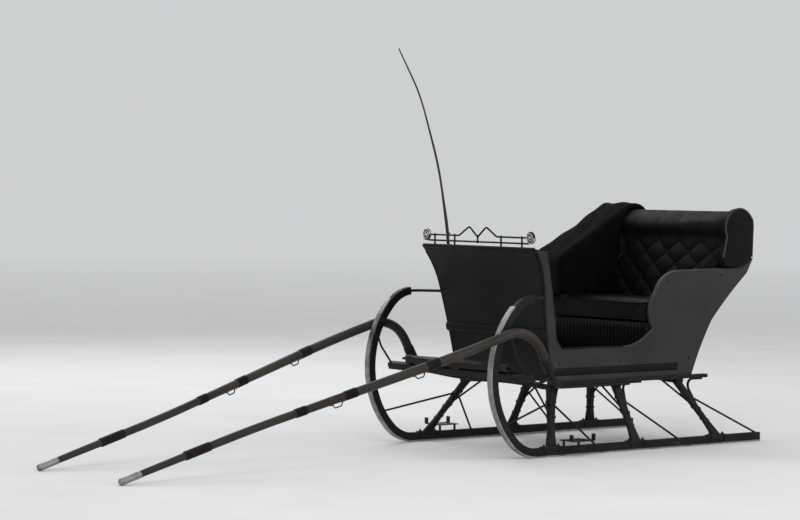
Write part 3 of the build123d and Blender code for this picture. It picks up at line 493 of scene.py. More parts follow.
blackLeather = softLeather("blackLeather", paints["leather"], 0.0016, 0.46, paints["rubbedLeather"])
pipingLeather = softLeather("pipingLeather", paints["piping"], 0.0012, 0.5, paints["rubbedPiping"])
harnessLeather = softLeather("harnessLeather", paints["harness"], 0.001, 0.44, paints["rubbedHarness"])
robePlush = pileCloth("robePlush", paints["robe"], paints["robeSheen"], 210)
floorCarpet = pileCloth("floorCarpet", paints["carpet"], paints["carpetSheen"], 420, 0.95)
whipBraid = braidedLeather("whipBraid", paints["whip"], paints["rubbedWhip"])
print("materials made:", len(bpy.data.materials))

# Which CAD nodes wear which finish, by the start of their names. The first that fits counts.
finishes = (
    (("dash_rail", "whiffletree_irons", "whiffletree_bolt", "shaft_brace", "whip_socket"), blackIron),
    (("side_panel", "lower_back", "upper_back"), sidePaint),
    (("dash",), dashPaint),
    (("runner", "rave"), gearAlong),
    (("knee",), gearUp),
    (("bench", "crossbar", "whiffletree"), gearAcross),
    (("shaft",), shaftWood),
    (("seat_board", "seat_riser", "floor"), innerWood),
    (("shoe", "tip_cap"), brightSteel),
    (("tug_sleeve",), harnessLeather),
    (("whip",), whipBraid),
    (("",), blackIron),
)
for nodeName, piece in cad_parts.items():
    piece.data.materials.clear()
    piece.data.materials.append(next(finish for starts, finish in finishes if nodeName.startswith(starts)))
print("CAD nodes dressed")

# Camera at the photograph's angle, and soft studio light.
view = {
    "place": (10.149, -8.166, 1.355),
    "aim": (0.0, -0.089, 0.935),
    "roll": 0.53,     # degrees
    "lens": 122,
    "reach": 100,
}


def placeCamera():
    forward = (Vector(view["aim"]) - Vector(view["place"])).normalized()
    level = forward.cross(upward).normalized()
    upright = level.cross(forward)
    turn = radians(view["roll"])
    right = level * cos(turn) + upright * sin(turn)
    up = upright * cos(turn) - level * sin(turn)
    lens = bpy.data.cameras.new("camera")
    lens.lens = view["lens"]
    lens.clip_end = view["reach"]
    camera = inScene("camera", lens)
    turned = Matrix((right, up, -forward)).transposed().to_4x4()
    camera.matrix_world = Matrix.Translation(view["place"]) @ turned
    bpy.context.scene.camera = camera


studio = {
    "sky": (0.93, 0.95, 0.97, 1),
    "skyStrength": 0.66,
    "lamps": (   # place, aim, width, watts
        ((5.5, -5.0, 6.5), (0, 0, 0.5), 5.0, 230),
        ((7.0, 4.5, 3.5), (0, 0.5, 0.6), 4.0, 130),
        ((-5.5, 1.5, 5.5), (0, 0, 0.6), 5.0, 170),
    ),
    "floor": (0.80, 0.80, 0.80, 1),
    "floorHalf": 90,
    "floorHeight": -0.0005,
    "fade": (7.0, 30.0),     # metres from the middle over which the floor turns as pale as the sky
}


def lightStudio():
    world = bpy.data.worlds.new("studio")
    world.use_nodes = True
    sky = {"Color": studio["sky"], "Strength": studio["skyStrength"]}
    feed(world.node_tree, world.node_tree.nodes["Background"], sky)
    bpy.context.scene.world = world
    bpy.context.scene.view_settings.view_transform = "Standard"
    for number, (place, aim, width, watts) in enumerate(studio["lamps"]):
        lamp = bpy.data.lights.new(f"softbox{number}", "AREA")
        lamp.size = width
        lamp.energy = watts
        holder = inScene(f"softbox{number}", lamp)
        holder.location = place
        holder.rotation_euler = (Vector(aim) - Vector(place)).to_track_quat("-Z", "Y").to_euler()


def layFloor():
    material, tree, shader, place = startMaterial("studioFloor")
    drifts = spread(tree, noise(tree, place, 1.4, 6, 0.6), 0.35, 0.7)
    near = mixColour(tree, drifts, shade(studio["floor"], 0.94), studio["floor"])
    away = addNode(tree, "VectorMath", {0: place}, operation="LENGTH").outputs["Value"]
    colour = mixColour(tree, spread(tree, away, *studio["fade"]), near, (1, 1, 1, 1))
    feed(tree, shader, {"Base Color": colour, "Roughness": 0.95, "Specular IOR Level": 0.0})
    form = bmesh.new()
    half = studio["floorHalf"]
    corners = ((-half, -half), (half, -half), (half, half), (-half, half))
    form.faces.new([form.verts.new((x, y, studio["floorHeight"])) for x, y in corners])
    ground = inScene("ground", meshFrom(form, "ground"))
    ground.data.materials.append(material)


placeCamera()
lightStudio()
layFloor()
print("camera and light set")

# Mouldings along the edges of the sides.
outline = {      # Y, Z; three places make an arc
    "wing": ((-0.547, 0.978), (-0.466, 0.735), (-0.424, 0.548)),
    "wingFoot": (-0.385, 0.503),
    "hollow": ((0.020, 0.503), (0.128, 0.522), (0.214, 0.588)),
    "scroll": ((0.214, 0.588), (0.174, 0.668), (0.188, 0.776)),
    "shoulder": ((0.188, 0.776), (0.222, 0.845), (0.310, 0.876)),
    "sweep": ((0.690, 0.884), (0.738, 0.898), (0.768, 0.935)),
    "backCorner": (0.766, 0.862),
    "kink": (0.607, 0.620),
    "backFoot": (0.500, 0.346),
}
mouldings = {
    "armBead": (0.018, 0.010),      # width across the edge, height
    "edgeBead": (0.020, 0.009),
    "rearBead": (0.019, 0.006),
    # a strip along the side's foot in the dark trim paint, partly a moulding and partly painted shadow along
    # the line there
    "shadowLineStrip": (0.038, 0.005),
    "shadowLineStripPlace": (-0.440, 0.400, 0.391),                           # from, to, height
    "backBelts": ((0.606, (0.026, 0.009)), (0.372, (0.030, 0.005))),     # height, width and depth
    "step": 0.04,
    "edgeDepths": (0.001, 0.003, 0.007, 0.014),    # tried in turn, to find both faces of the board
    "thickest": 0.05,               # for two faces to be of one board
    "outside": 0.8,                 # X and Y from where the rays start
    "behind": 1.2,
}


def facePoint(tree, y, z, side, inner=False):
    # the point and normal on the outside, or the inside, of a side at this place
    start = at(0.0 if inner else side * mouldings["outside"], y, z)
    return rayHit(tree, start, Vector((side if inner else -side, 0, 0)))


def edgeStations(tree, side, path):
    # the middle of the panel's edge, across it and outward, along a line of the outline
    stations = []
    for y, z, along in alongPath(path):
        inward = Vector((0, along.z, -along.y))
        for depth in mouldings["edgeDepths"]:
            spot = (y + inward.y * depth, z + inward.z * depth)
            outer, inner = facePoint(tree, *spot, side)[0], facePoint(tree, *spot, side, True)[0]
            if outer and inner and abs(outer.x - inner.x) < mouldings["thickest"]:
                middle = (outer + inner) / 2
                across = (outer - inner).normalized()
                out = along.cross(across)
                out = out if out.dot(inward) < 0 else -out
                stations.append((Vector((middle.x, y + middleKnees, z)), across, out.normalized()))
                break
    return stations


def faceStations(tree, side, path):
    # the outer face along a line: the point, across the line on the face, and outward
    stations = []
    for y, z, along in alongPath(path):
        place, out = facePoint(tree, y, z, side)
        if place:
            stations.append((place, out.cross(along).normalized(), out))
    return stations


def armPath():
    path = arcThrough(*outline["hollow"], 10)
    path += arcThrough(*outline["scroll"], 16)[1:] + arcThrough(*outline["shoulder"], 14)[1:]
    path += spaced([outline["shoulder"][2], outline["sweep"][0]], 0.03)[1:]
    return path + arcThrough(*outline["sweep"], 10)[1:]


def wingPath():
    path = arcThrough(*outline["wing"], 16) + [outline["wingFoot"]]
    return path + spaced([outline["wingFoot"], outline["hollow"][0]], mouldings["step"])[1:]


def backPath():
    corners = [outline["sweep"][2], outline["backCorner"], outline["kink"], outline["backFoot"]]
    return spaced(corners, mouldings["step"])


def beltBack():
    # a half-round moulding across the back at its kink, and a flatter one along its foot
    form = bmesh.new()
    tree = treeOf(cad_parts["lower_back"])
    behind, forward = mouldings["behind"], Vector((0, -1, 0))
    for height, size in mouldings["backBelts"]:
        reached = [x for x in between(0, 0.5, 100) if rayHit(tree, at(x, behind, height), forward)[0]]
        half = max(reached)     # to 5 mm
        stations = []
        for x in between(-half, half, 8):
            place, out = rayHit(tree, at(x, behind, height), forward)
            if place:
                stations.append((place, Vector((0, -out.z, out.y)), out))
        addSweep(form, stations, halfRound(*size))
    addPiece("backMouldings", form, darkTrim)


def mouldSides():
    start, end, height = mouldings["shadowLineStripPlace"]
    strip = spaced([(start, height), (end, height)], mouldings["step"])
    for sideName, side in sides.items():
        tree = treeOf(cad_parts[f"side_panel_{sideName}"])
        form = bmesh.new()
        addSweep(form, edgeStations(tree, side, armPath()), oval(*mouldings["armBead"]))
        addPiece(f"armBead_{sideName}", form, beadPaint)
        form = bmesh.new()
        addSweep(form, edgeStations(tree, side, wingPath()), oval(*mouldings["edgeBead"]))
        addSweep(form, edgeStations(tree, side, backPath()), oval(*mouldings["rearBead"]))
        # the strip along the foot: a moulding whose dark paint also paints the shadow line along it
        addSweep(form, faceStations(tree, side, strip), halfRound(*mouldings["shadowLineStrip"]))
        addPiece(f"darkMouldings_{sideName}", form, darkTrim)


beltBack()
mouldSides()
print("side mouldings made")

# Dash: a roll along its top, beads up its edges and a belt across it.
dashTrim = {
    "foot": (-0.459276, 0.316551),       # Y, Z where its line starts
    "lean": 101.0,                       # degrees from +Y
    "rise": 5.1446,                      # for each metre forward, on the straight
    "moves": ((0.493, 0), (0.420, 28)),  # straight, then curled
    "step": 0.03,
    "middle": 0.008,                     # from the line to the middle of the board
    "edgeBead": (0.021, 0.012),
    "edgeBeadFrom": 0.35,
    "topRoll": (0.022, 0.020),
    "topRollPlace": (0.002, 0.001),      # short of the edge, above the board's end
    "beltHeight": 0.583,
    "belt": (0.046, 0.014),              # width, and how far it stands out
    "beltEnds": (0.004, 0.010),          # past the edge, and where inside it the face is looked for
    "ahead": 0.30,                       # in front of the board, where the rays start
}
dashTree = treeOf(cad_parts["dash"])
dashLine = trailPoints(dashTrim["foot"], dashTrim["lean"], dashTrim["moves"], dashTrim["step"])


def dashMiddle(station, x=0.0):
    # a place in the middle of the board's thickness
    y, z, heading = station
    depth = dashTrim["middle"]
    return at(x, y + sin(heading) * depth, z - cos(heading) * depth)


def dashHalfWidth(station):
    place, _ = rayHit(dashTree, dashMiddle(station), leftward)
    return place.x if place else None


def dressDash():
    form = bmesh.new()
    for side in sides.values():
        stations = []
        for station in dashLine:
            half = dashHalfWidth(station)
            if half is not None and station[1] >= dashTrim["edgeBeadFrom"]:
                place = dashMiddle(station, side * half)
                stations.append((place, outOf(station[2]), Vector((side, 0, 0))))
        addSweep(form, stations, oval(*dashTrim["edgeBead"]))
    heading = dashLine[-1][2]
    along = Vector((0, cos(heading), sin(heading)))
    short, above = dashTrim["topRollPlace"]
    half = dashHalfWidth(dashLine[-2]) - short
    ends = [dashMiddle(dashLine[-1]) + Vector((x, 0, 0)) + along * above for x in (-half, half)]
    addSweep(form, [(end, outOf(heading), along) for end in ends], oval(*dashTrim["topRoll"]))
    # the belt follows the front face, and its ends run past it
    (footY, footZ), height = dashTrim["foot"], dashTrim["beltHeight"]
    over, within = dashTrim["beltEnds"]
    y = footY - (height - footZ) / dashTrim["rise"]
    half = dashHalfWidth((y, height, radians(dashTrim["lean"]))) + over
    stations = []
    for x in between(-half, half, 8):
        start = at(max(-half + within, min(half - within, x)), y - dashTrim["ahead"], height)
        place, out = rayHit(dashTree, start, Vector((0, 1, 0)))
        stations.append((Vector((x, place.y, place.z)), Vector((0, -out.z, out.y)), out))
    addSweep(form, stations, halfRound(*dashTrim["belt"], 9))
    addPiece("dashMouldings", form, darkTrim)


dressDash()
print("dash mouldings made")

# Dash rail: a spiral on both faces of each end disc, and a small ball where rods cross.
railTrim = {
    "y": -0.63283,
    "heights": (1.018, 1.046),       # of the two rails
    "posts": (-0.330, -0.176, 0.0, 0.176, 0.330),
    "ball": 0.0075,
    "collarHeight": 0.986,
    "collar": ((-0.004, 0.010), (0.003, 0.010), (0.006, 0.006), (0.010, 0.0048)),    # height, radius
    "disc": 0.394,                   # X of the end discs
    "spiral": (0.005, 0.029),        # radius at its start and end
    "spiralTurns": 2.0,
    "spiralSteps": 44,
    "spiralOut": 0.0045,
    "rod": 0.0032,
    "bolt": (0.008, 0.008),
    "boltOut": 0.0025,
}


def dressRail():
    form = bmesh.new()
    near, far = railTrim["spiral"]
    steps, whole = railTrim["spiralSteps"], 2 * pi * railTrim["spiralTurns"]
    for side in sides.values():
        centre = at(side * railTrim["disc"], railTrim["y"], railTrim["heights"][1])
        for facing in (-1, 1):
            spiral = []
            for turn, reach in zip(between(0, side * whole, steps), between(near, far, steps)):
                place = (reach * cos(turn), facing * railTrim["spiralOut"], reach * sin(turn))
                spiral.append(centre + Vector(place))
            addTube(form, spiral, railTrim["rod"])
            out = Vector((0, facing, 0))
            addBolt(form, centre + out * railTrim["boltOut"], out, *railTrim["bolt"])
    addPiece("railRosettes", form, rosetteMetal)
    form = bmesh.new()
    size = railTrim["ball"]
    ball = [(size * sin(turn), size * cos(turn)) for turn in between(-pi / 2, pi / 2, 8)]
    for x in railTrim["posts"]:
        for height in railTrim["heights"]:
            addLathe(form, at(x, railTrim["y"], height), upward, ball, 12)
        if x:
            addLathe(form, at(x, railTrim["y"], railTrim["collarHeight"]), upward, railTrim["collar"])
    addPiece("railCollars", form, blackIron)


dressRail()
print("dash rail dressed")

# Whip: plain rings on its grip, and bands on the socket.
whipTrim = {
    "mouth": (-0.340, -0.53764, 0.98067),
    "rings": ((0.012, 0.0100), (0.058, 0.0096), (0.066, 0.0094)),       # above the mouth, radius
    "ring": ((0, 0.9), (0.002, 1), (0.006, 1), (0.008, 0.9)),           # height, share of the radius
    "socketRings": (-0.112, -0.060, -0.006),
    "socketRing": ((0, 0.0145), (0.0015, 0.0158), (0.0055, 0.0158), (0.007, 0.0145)),
}


def dressWhip():
    form = bmesh.new()
    mouth = at(*whipTrim["mouth"])
    for height, radius in whipTrim["rings"]:
        profile = [(along, radius * share) for along, share in whipTrim["ring"]]
        addLathe(form, mouth + upward * height, upward, profile)
    for height in whipTrim["socketRings"]:
        addLathe(form, mouth + upward * height, upward, whipTrim["socketRing"], 20)
    addPiece("whipRings", form, blackIron)


dressWhip()
print("whip dressed")

# Iron of the gear: saddles at the knees' feet, bands and bolts.
gear = {
    "track": 0.470,
    "knees": ((-0.557, -0.430), (0.0, 0.0), (0.555, 0.425)),     # Y of the foot and of the head
    "footHeight": 0.045,
    "headSpread": 0.322,
    "headHeight": 0.306,
    "sections": ((0.0, 0.060, 0.026), (0.3, 0.036, 0.028), (1.0, 0.046, 0.040)),   # share, along, across
    "bands": (0.30, 0.52, 0.78),
    "bandHeight": 0.012,
    "bandProud": 0.0012,
    "bandCorner": 0.22,             # cut off each corner, as a share of half the width
    "bandBolt": (0.006, 0.004),     # radius, height
    "bandBoltOut": 0.002,
    "plateHeight": 0.0455,
    "plateStations": (-0.062, -0.050, 0.050, 0.062),
    "plate": ((0.0155, -0.003), (0.0155, 0.0035), (-0.0155, 0.0035), (-0.0155, -0.003)),
    "clips": (-0.046, 0.046),
    "clip": ((-0.0158, 0.012), (-0.0158, 0.048), (0.0158, 0.048), (0.0158, 0.012)),
    "clipRod": 0.0026,
    "nutHeight": 0.050,
    "nut": (0.0075, 0.005),
    "raveBolts": (-0.440, -0.300, -0.150, 0.0, 0.150, 0.300, 0.425, 0.560),
    "raveFace": (0.3625, 0.337),    # X of the rave's outer face, height of its bolts
    "raveBolt": (0.0055, 0.003),
    "sideBolts": ((-0.400, 0.430), (0.005, 0.430), (0.250, 0.825), (0.600, 0.850), (0.480, 0.430)),
    "sideBolt": (0.0065, 0.0032),
}


def kneePoint(knee, share, side):
    footY, headY = knee
    foot = at(side * gear["track"], footY, gear["footHeight"])
    return foot.lerp(at(side * gear["headSpread"], headY, gear["headHeight"]), share)


def kneeSize(share):
    for (low, lowAlong, lowAcross), (high, along, across) in zip(gear["sections"], gear["sections"][1:]):
        if share <= high:
            part = (share - low) / (high - low)
            return lowAlong + (along - lowAlong) * part, lowAcross + (across - lowAcross) * part


def addBand(form, knee, share, side):
    # a strap round the knee, its corners cut as the knee's are
    near = 1 - gear["bandCorner"]
    corners = []
    for sx, sy in ((1, 1), (-1, 1), (-1, -1), (1, -1)):
        pair = [(sx, sy * near), (sx * near, sy)]
        corners += pair if sx * sy > 0 else pair[::-1]
    offset = gear["bandHeight"] / 2 / (gear["headHeight"] - gear["footHeight"])
    rings = []
    for place in (share - offset, share + offset):
        centre = kneePoint(knee, place, side)
        along, across = [size / 2 + gear["bandProud"] for size in kneeSize(place)]
        rings.append([centre + Vector((a * across, b * along, 0)) for a, b in corners])
    skin(form, rings)


def addSaddle(form, footY, side):
    # a plate on the runner, two clips round it, and nuts on top
    x = side * gear["track"]
    stations = [(at(x, footY + y, gear["plateHeight"]), leftward, upward) for y in gear["plateStations"]]
    addSweep(form, stations, gear["plate"])
    for shift in gear["clips"]:
        y = footY + shift
        addTube(form, [at(x + side * a, y, z) for a, z in gear["clip"]], gear["clipRod"])
        addNut(form, at(x, y, gear["nutHeight"]), upward, *gear["nut"])


def dressGear():
    form = bmesh.new()
    for sideName, side in sides.items():
        outward = Vector((side, 0, 0))
        for knee in gear["knees"]:
            for share in gear["bands"]:
                addBand(form, knee, share, side)
            for share in gear["bands"][1:]:
                reach = kneeSize(share)[1] / 2 + gear["bandBoltOut"]
                addBolt(form, kneePoint(knee, share, side) + outward * reach, outward, *gear["bandBolt"])
            addSaddle(form, knee[0], side)
        x, height = gear["raveFace"]
        for y in gear["raveBolts"]:
            addBolt(form, at(side * x, y, height), outward, *gear["raveBolt"])
        tree = treeOf(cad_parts[f"side_panel_{sideName}"])
        for y, z in gear["sideBolts"]:
            place, out = facePoint(tree, y, z, side)
            if place:
                addBolt(form, place, out, *gear["sideBolt"])
    addPiece("gearIrons", form, blackIron)


dressGear()
print("gear irons made")

# Shafts: leather wraps, and a footman loop under each shaft's holdback place.
shaftTrim = {
    "line": (      # distance from the heel's corner, X, Y, Z and radius, on the parked shaft
        (0.0, 0.520, -0.73715, 0.63517, 0.0230),
        (0.430, 0.520, -1.15059, 0.51698, 0.0225),
        (1.560, 0.352, -2.23706, 0.20636, 0.0185),
        (2.250, 0.338, -2.90048, 0.01670, 0.0145),
    ),
    "wraps": ((0.60, 0.070), (1.04, 0.060), (1.30, 0.050)),      # distance, length
    "turnPitch": 0.009,
    "turn": ((0, 0), (0.0012, 0.0022), (0.0072, 0.0022), (0.0084, 0)),     # along, out from the wood
    "loops": (0.675, 1.115),
    "loop": ((-0.030, 0), (-0.024, 0.006), (-0.017, 0.019), (0.017, 0.019), (0.024, 0.006), (0.030, 0)),
    "loopAhead": 0.045,     # further along, to where it points
    "loopRod": 0.0032,
    "loopSunk": 0.002,
    "loopBolts": (-0.034, 0.034),
    "loopBolt": (0.0075, 0.004),
}


def shaftPoint(distance, side):
    # point and radius on a shaft's line
    line = shaftTrim["line"]
    for (near, *low), (far, *high) in zip(line, line[1:]):
        if distance <= far:
            break
    share = (distance - near) / (far - near)
    x, y, z, radius = [a + (b - a) * share for a, b in zip(low, high)]
    return at(side * x, y, z), radius


def wrapShaft(form, side):
    for distance, length in shaftTrim["wraps"]:
        for i in range(round(length / shaftTrim["turnPitch"])):
            start = distance - length / 2 + i * shaftTrim["turnPitch"]
            near, _ = shaftPoint(start, side)
            far, radius = shaftPoint(start + shaftTrim["turn"][-1][0], side)
            profile = [(along, radius + out) for along, out in shaftTrim["turn"]]
            addLathe(form, near, far - near, profile, 20)


def loopShaft(form, side):
    for distance in shaftTrim["loops"]:
        spot, radius = shaftPoint(distance, side)
        ahead = (shaftPoint(distance + shaftTrim["loopAhead"], side)[0] - spot).normalized()
        down = (ahead * upward.dot(ahead) - upward).normalized()
        level = radius - shaftTrim["loopSunk"]
        points = [spot + ahead * a + down * (level + b) for a, b in shaftTrim["loop"]]
        addTube(form, points, shaftTrim["loopRod"])
        for a in shaftTrim["loopBolts"]:
            addBolt(form, spot + ahead * a + down * (radius - 0.001), down, *shaftTrim["loopBolt"])


for sideName, side in sides.items():
    form = bmesh.new()
    wrapShaft(form, side)
    addPiece(f"shaftWraps_{sideName}", form, harnessLeather, "shafts")
    form = bmesh.new()
    loopShaft(form, side)
    addPiece(f"shaftLoops_{sideName}", form, blackIron, "shafts")
print("shafts dressed")

# Upholstery. Each soft piece starts from its CAD solid, swells as stuffed cloth does, and is then tufted.
stuffing = {
    "pressure": 4.0,
    "steps": 20,
    "smoothing": (4, 0.5),       # passes, strength
    "backPad": {"voxel": 0.011, "inset": 0.003, "cap": 0.010, "fill": 0.8},
    "seatCushion": {"voxel": 0.009, "inset": 0.004, "cap": 0.012, "fill": 0.75},
    "sidePad": {"voxel": 0.006, "inset": 0.002, "cap": 0.005, "fill": 0.7},
}


def evaluated(piece):
    graph = bpy.context.evaluated_depsgraph_get()
    return bpy.data.meshes.new_from_object(piece.evaluated_get(graph))


def settle(piece):
    # makes what the modifiers give the piece's own mesh
    mesh = evaluated(piece)
    piece.modifiers.clear()
    piece.data = mesh


def softBlank(name, nodeName, values):
    # the CAD solid, remeshed evenly and drawn in a little
    piece = inScene(name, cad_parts[nodeName].data.copy())
    remesh = piece.modifiers.new("even", "REMESH")
    remesh.mode = "VOXEL"
    remesh.voxel_size = values["voxel"]
    shrink = piece.modifiers.new("inset", "DISPLACE")
    shrink.strength = -values["inset"]
    shrink.mid_level = 0
    soften = piece.modifiers.new("soften", "SMOOTH")
    soften.iterations, soften.factor = stuffing["smoothing"]
    settle(piece)
    return piece


def swell(piece, cap):
    # cloth with air pressure inside; no point moves further than the cap
    start = [v.co.copy() for v in piece.data.vertices]
    cloth = piece.modifiers.new("swell", "CLOTH")
    cloth.settings.use_pressure = True
    cloth.settings.uniform_pressure_force = stuffing["pressure"]
    cloth.settings.effector_weights.gravity = 0
    scene = bpy.context.scene
    for number in range(1, stuffing["steps"] + 1):
        scene.frame_set(number)
    swollen = evaluated(piece)
    ends = [v.co.copy() for v in swollen.vertices]
    piece.modifiers.clear()
    for vertex, begin, end in zip(piece.data.vertices, start, ends):
        move = end - begin
        if move.length > cap:
            move *= cap / move.length
        vertex.co = begin + move
    scene.frame_set(1)


def refine(piece):
    finer = piece.modifiers.new("finer", "SUBSURF")
    finer.levels = finer.render_levels = 1
    settle(piece)
    for polygon in piece.data.polygons:
        polygon.use_smooth = True


def makeSoft(name, nodeName, values):
    piece = softBlank(name, nodeName, values)
    swell(piece, values["cap"])
    refine(piece)
    dress(piece, blackLeather)
    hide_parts(nodeName)
    return piece


def tuftHeight(u, v):
    # 0 along the folds between buttons and 1 in the middle of each diamond
    return (abs(sin(pi * (u + v) / 2)) * abs(sin(pi * (u - v) / 2))) ** 0.35


def sewButtons(name, piece, starts, out, size):
    # on the leather where rays from the front meet it; size is radius and height
    tree = treeOf(piece)
    form = bmesh.new()
    for start in starts:
        place, _ = rayHit(tree, start, -out)
        if place:
            addBolt(form, place - out * 0.001, out, *size)
    addPiece(name, form, blackLeather)


backTufts = {
    "pitchAcross": 0.158,
    "pitchUp": 0.128,
    "foot": (0.470, 0.6143),       # Y, Z of the front face at the seat
    "shoulder": (0.597, 1.041),    # where it meets the roll
    "topRow": 0.02,                # below the shoulder
    "depth": 0.016,
    "facing": (0.15, 0.5),         # cosine at which the tufts begin, and over how much more they grow
    "rollFacing": (-0.9, 0.6),
    "rollPleat": 0.006,
    "rollRun": (0.05, 0.20),       # over which the depth becomes the pleats', and over which they end
    "edge": (0.494, 0.03),         # X where the tufts end, and over how much they fade
    "button": (0.011, 0.006),      # radius, height
    "buttonRoom": (0.44, 0.13),    # greatest X, least height above the foot
    "rows": 4,
    "columns": 7,                  # to each side of the middle
    "clear": 0.2,                  # rays for the buttons start this far in front
}


def backFace():
    # the padded face: its foot, the directions up it and out of it, and the height of its top row
    foot, shoulder = at(0, *backTufts["foot"]), at(0, *backTufts["shoulder"])
    up = (shoulder - foot).normalized()
    return foot, up, Vector((0, -up.z, up.y)), (shoulder - foot).length - backTufts["topRow"]


def tuftBack(piece):
    foot, up, front, top = backFace()
    (begin, growth), (rollBegin, rollGrowth) = backTufts["facing"], backTufts["rollFacing"]
    change, run = backTufts["rollRun"]
    end, fade = backTufts["edge"]
    piece.data.update()
    moves = []
    for vertex in piece.data.vertices:
        facing = vertex.normal.dot(front)
        above = (vertex.co - foot).dot(up) - top
        u = vertex.co.x / backTufts["pitchAcross"] * 2
        depth = backTufts["depth"]
        if above <= 0:
            lift = tuftHeight(u, above / backTufts["pitchUp"] * 2)
            weight = clamped((facing - begin) / growth)
        else:
            lift = abs(sin(pi * u / 2)) ** 0.5
            weight = clamped((facing - rollBegin) / rollGrowth) * max(0.0, 1 - above / run)
            depth += (backTufts["rollPleat"] - depth) * min(1, above / change)
        edge = clamped((end - abs(vertex.co.x)) / fade)
        moves.append(vertex.normal * (-(1 - lift) * depth * weight * edge))
    for vertex, move in zip(piece.data.vertices, moves):
        vertex.co += move
    piece.data.update()


def buttonBack(piece):
    foot, up, front, top = backFace()
    widest, lowest = backTufts["buttonRoom"]
    starts = []
    for row in range(backTufts["rows"]):
        height = top - row * backTufts["pitchUp"] / 2
        for column in range(-backTufts["columns"], backTufts["columns"] + 1):
            x = column * backTufts["pitchAcross"] / 2
            if (column + row) % 2 == 0 and abs(x) <= widest and height >= lowest:
                starts.append(foot + up * height + Vector((x, 0, 0)) + front * backTufts["clear"])
    sewButtons("backButtons", piece, starts, front, backTufts["button"])


backPad = makeSoft("backPad", "back_pad", stuffing["backPad"])
tuftBack(backPad)
buttonBack(backPad)
print("back made:", len(backPad.data.polygons), "faces")

seatTufts = {
    "buttons": ((-0.24, 0.275), (-0.08, 0.275), (0.08, 0.275), (0.24, 0.275),
                (-0.16, 0.375), (0.0, 0.375), (0.16, 0.375)),
    "depth": 0.013,
    "reach": 0.038,
    "widest": 2.5,           # dimples end at this many times their reach
    "steepness": 1.6,
    "crown": 0.03,           # only this much of the cushion's top is dimpled
    "button": (0.0105, 0.006),
}
seatWelt = {"radius": 0.0045, "inset": 0.022, "away": 0.10, "sunk": 0.3, "steps": 40}


def tuftSeat(piece):
    # shallow dimples in the crown, each with a button
    low = max(v.co.z for v in piece.data.vertices) - seatTufts["crown"]
    buttons = [at(x, y, 0) for x, y in seatTufts["buttons"]]
    for vertex in piece.data.vertices:
        if vertex.co.z < low:
            continue
        for button in buttons:
            away = hypot(vertex.co.x - button.x, vertex.co.y - button.y) / seatTufts["reach"]
            if away < seatTufts["widest"]:
                vertex.co.z -= seatTufts["depth"] * exp(-seatTufts["steepness"] * away * away)
    piece.data.update()
    sewButtons("seatButtons", piece, [button + upward for button in buttons], upward, seatTufts["button"])


def weltSeat(piece):
    # piped seams along the front's upper and lower edge, where slanting rays meet them
    tree = treeOf(piece)
    low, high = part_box("seat_cushion")
    away, radius = seatWelt["away"], seatWelt["radius"]
    half = high[0] - seatWelt["inset"]
    form = bmesh.new()
    for tilt, level in ((-1, high[2] + away), (1, low[2] - away)):
        direction = Vector((0, 1, tilt)).normalized()
        points = []
        for x in between(-half, half, seatWelt["steps"]):
            place, _ = rayHit(tree, Vector((x, low[1] - away, level)), direction)
            if place:
                points.append(place - direction * radius * seatWelt["sunk"])
        addTube(form, points, radius)
    addPiece("seatWelts", form, blackLeather)


seatCushion = makeSoft("seatCushion", "seat_cushion", stuffing["seatCushion"])
tuftSeat(seatCushion)
weltSeat(seatCushion)
print("seat made:", len(seatCushion.data.polygons), "faces")

sideTufts = {
    "pitchAlong": 0.090,
    "pitchUp": 0.075,
    "depth": 0.007,
    "facing": (0.2, 0.4),
    "edge": 0.02,
    "button": (0.009, 0.005),
}


def tuftSide(piece, sideName, side):
    low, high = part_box(f"side_pad_{sideName}")
    middle = Vector([(a + b) / 2 for a, b in zip(low, high)])
    begin, growth = sideTufts["facing"]
    border = sideTufts["edge"]
    piece.data.update()
    for vertex in piece.data.vertices:
        facing = -side * vertex.normal.x
        if facing < begin:
            continue
        _, y, z = vertex.co
        u = (y - middle.y) / sideTufts["pitchAlong"] * 2
        v = (z - middle.z) / sideTufts["pitchUp"] * 2
        edge = min(y - low[1], high[1] - y, z - low[2], high[2] - z)
        weight = clamped(edge / border) * clamped((facing - begin) / growth)
        vertex.co.x += side * sideTufts["depth"] * (1 - tuftHeight(u, v)) * weight
    piece.data.update()
    starts = []
    for row in (-1, 0, 1):
        for column in (-2, -1, 0, 1, 2):
            y = middle.y + column * sideTufts["pitchAlong"] / 2
            z = middle.z + row * sideTufts["pitchUp"] / 2
            if (row + column) % 2 == 0 and low[1] + border < y < high[1] - border:
                starts.append(Vector((0, y, z)))
    sewButtons(f"sideButtons_{sideName}", piece, starts, Vector((-side, 0, 0)), sideTufts["button"])


for sideName, side in sides.items():
    pad = makeSoft(f"sidePad_{sideName}", f"side_pad_{sideName}", stuffing["sidePad"])
    tuftSide(pad, sideName, side)
print("side pads made")

# Each end of the back: a leather facing over the stuffing and the board's end, piped round its edge.
backEnds = {
    "foot": ((0.5640, 0.9130), (0.5850, 0.8960), (0.6900, 0.8925), (0.7350, 0.9050), (0.7600, 0.9330)),
    "rear": ((0.7705, 0.942), (0.7738, 1.030), (0.7764, 1.100), (0.7720, 1.130)),   # Y, Z up the rear
    "roll": (0.68015, 1.0890),
    "rollRadius": 0.0972,
    "turns": (40, 208),             # degrees from +Y round the roll
    "front": ((0.5800, 0.990), (0.5672, 0.940)),    # down the pad's face to the arm
    "middle": (0.672, 1.050),
    "rings": ((1.0, 0.468), (1.0, 0.4950), (0.985, 0.4985), (0.93, 0.5010), (0.72, 0.5030), (0.36, 0.5038)),
    "smooth": 70,
    "piping": 0.0052,
    "pipingPlace": 0.4945,
    "binding": (0.016, 0.010),      # leather strip along the board's top
    "bindingPlace": (0.7690, 1.1045),
    "bindingStations": (-0.490, -0.25, 0, 0.25, 0.490),
}


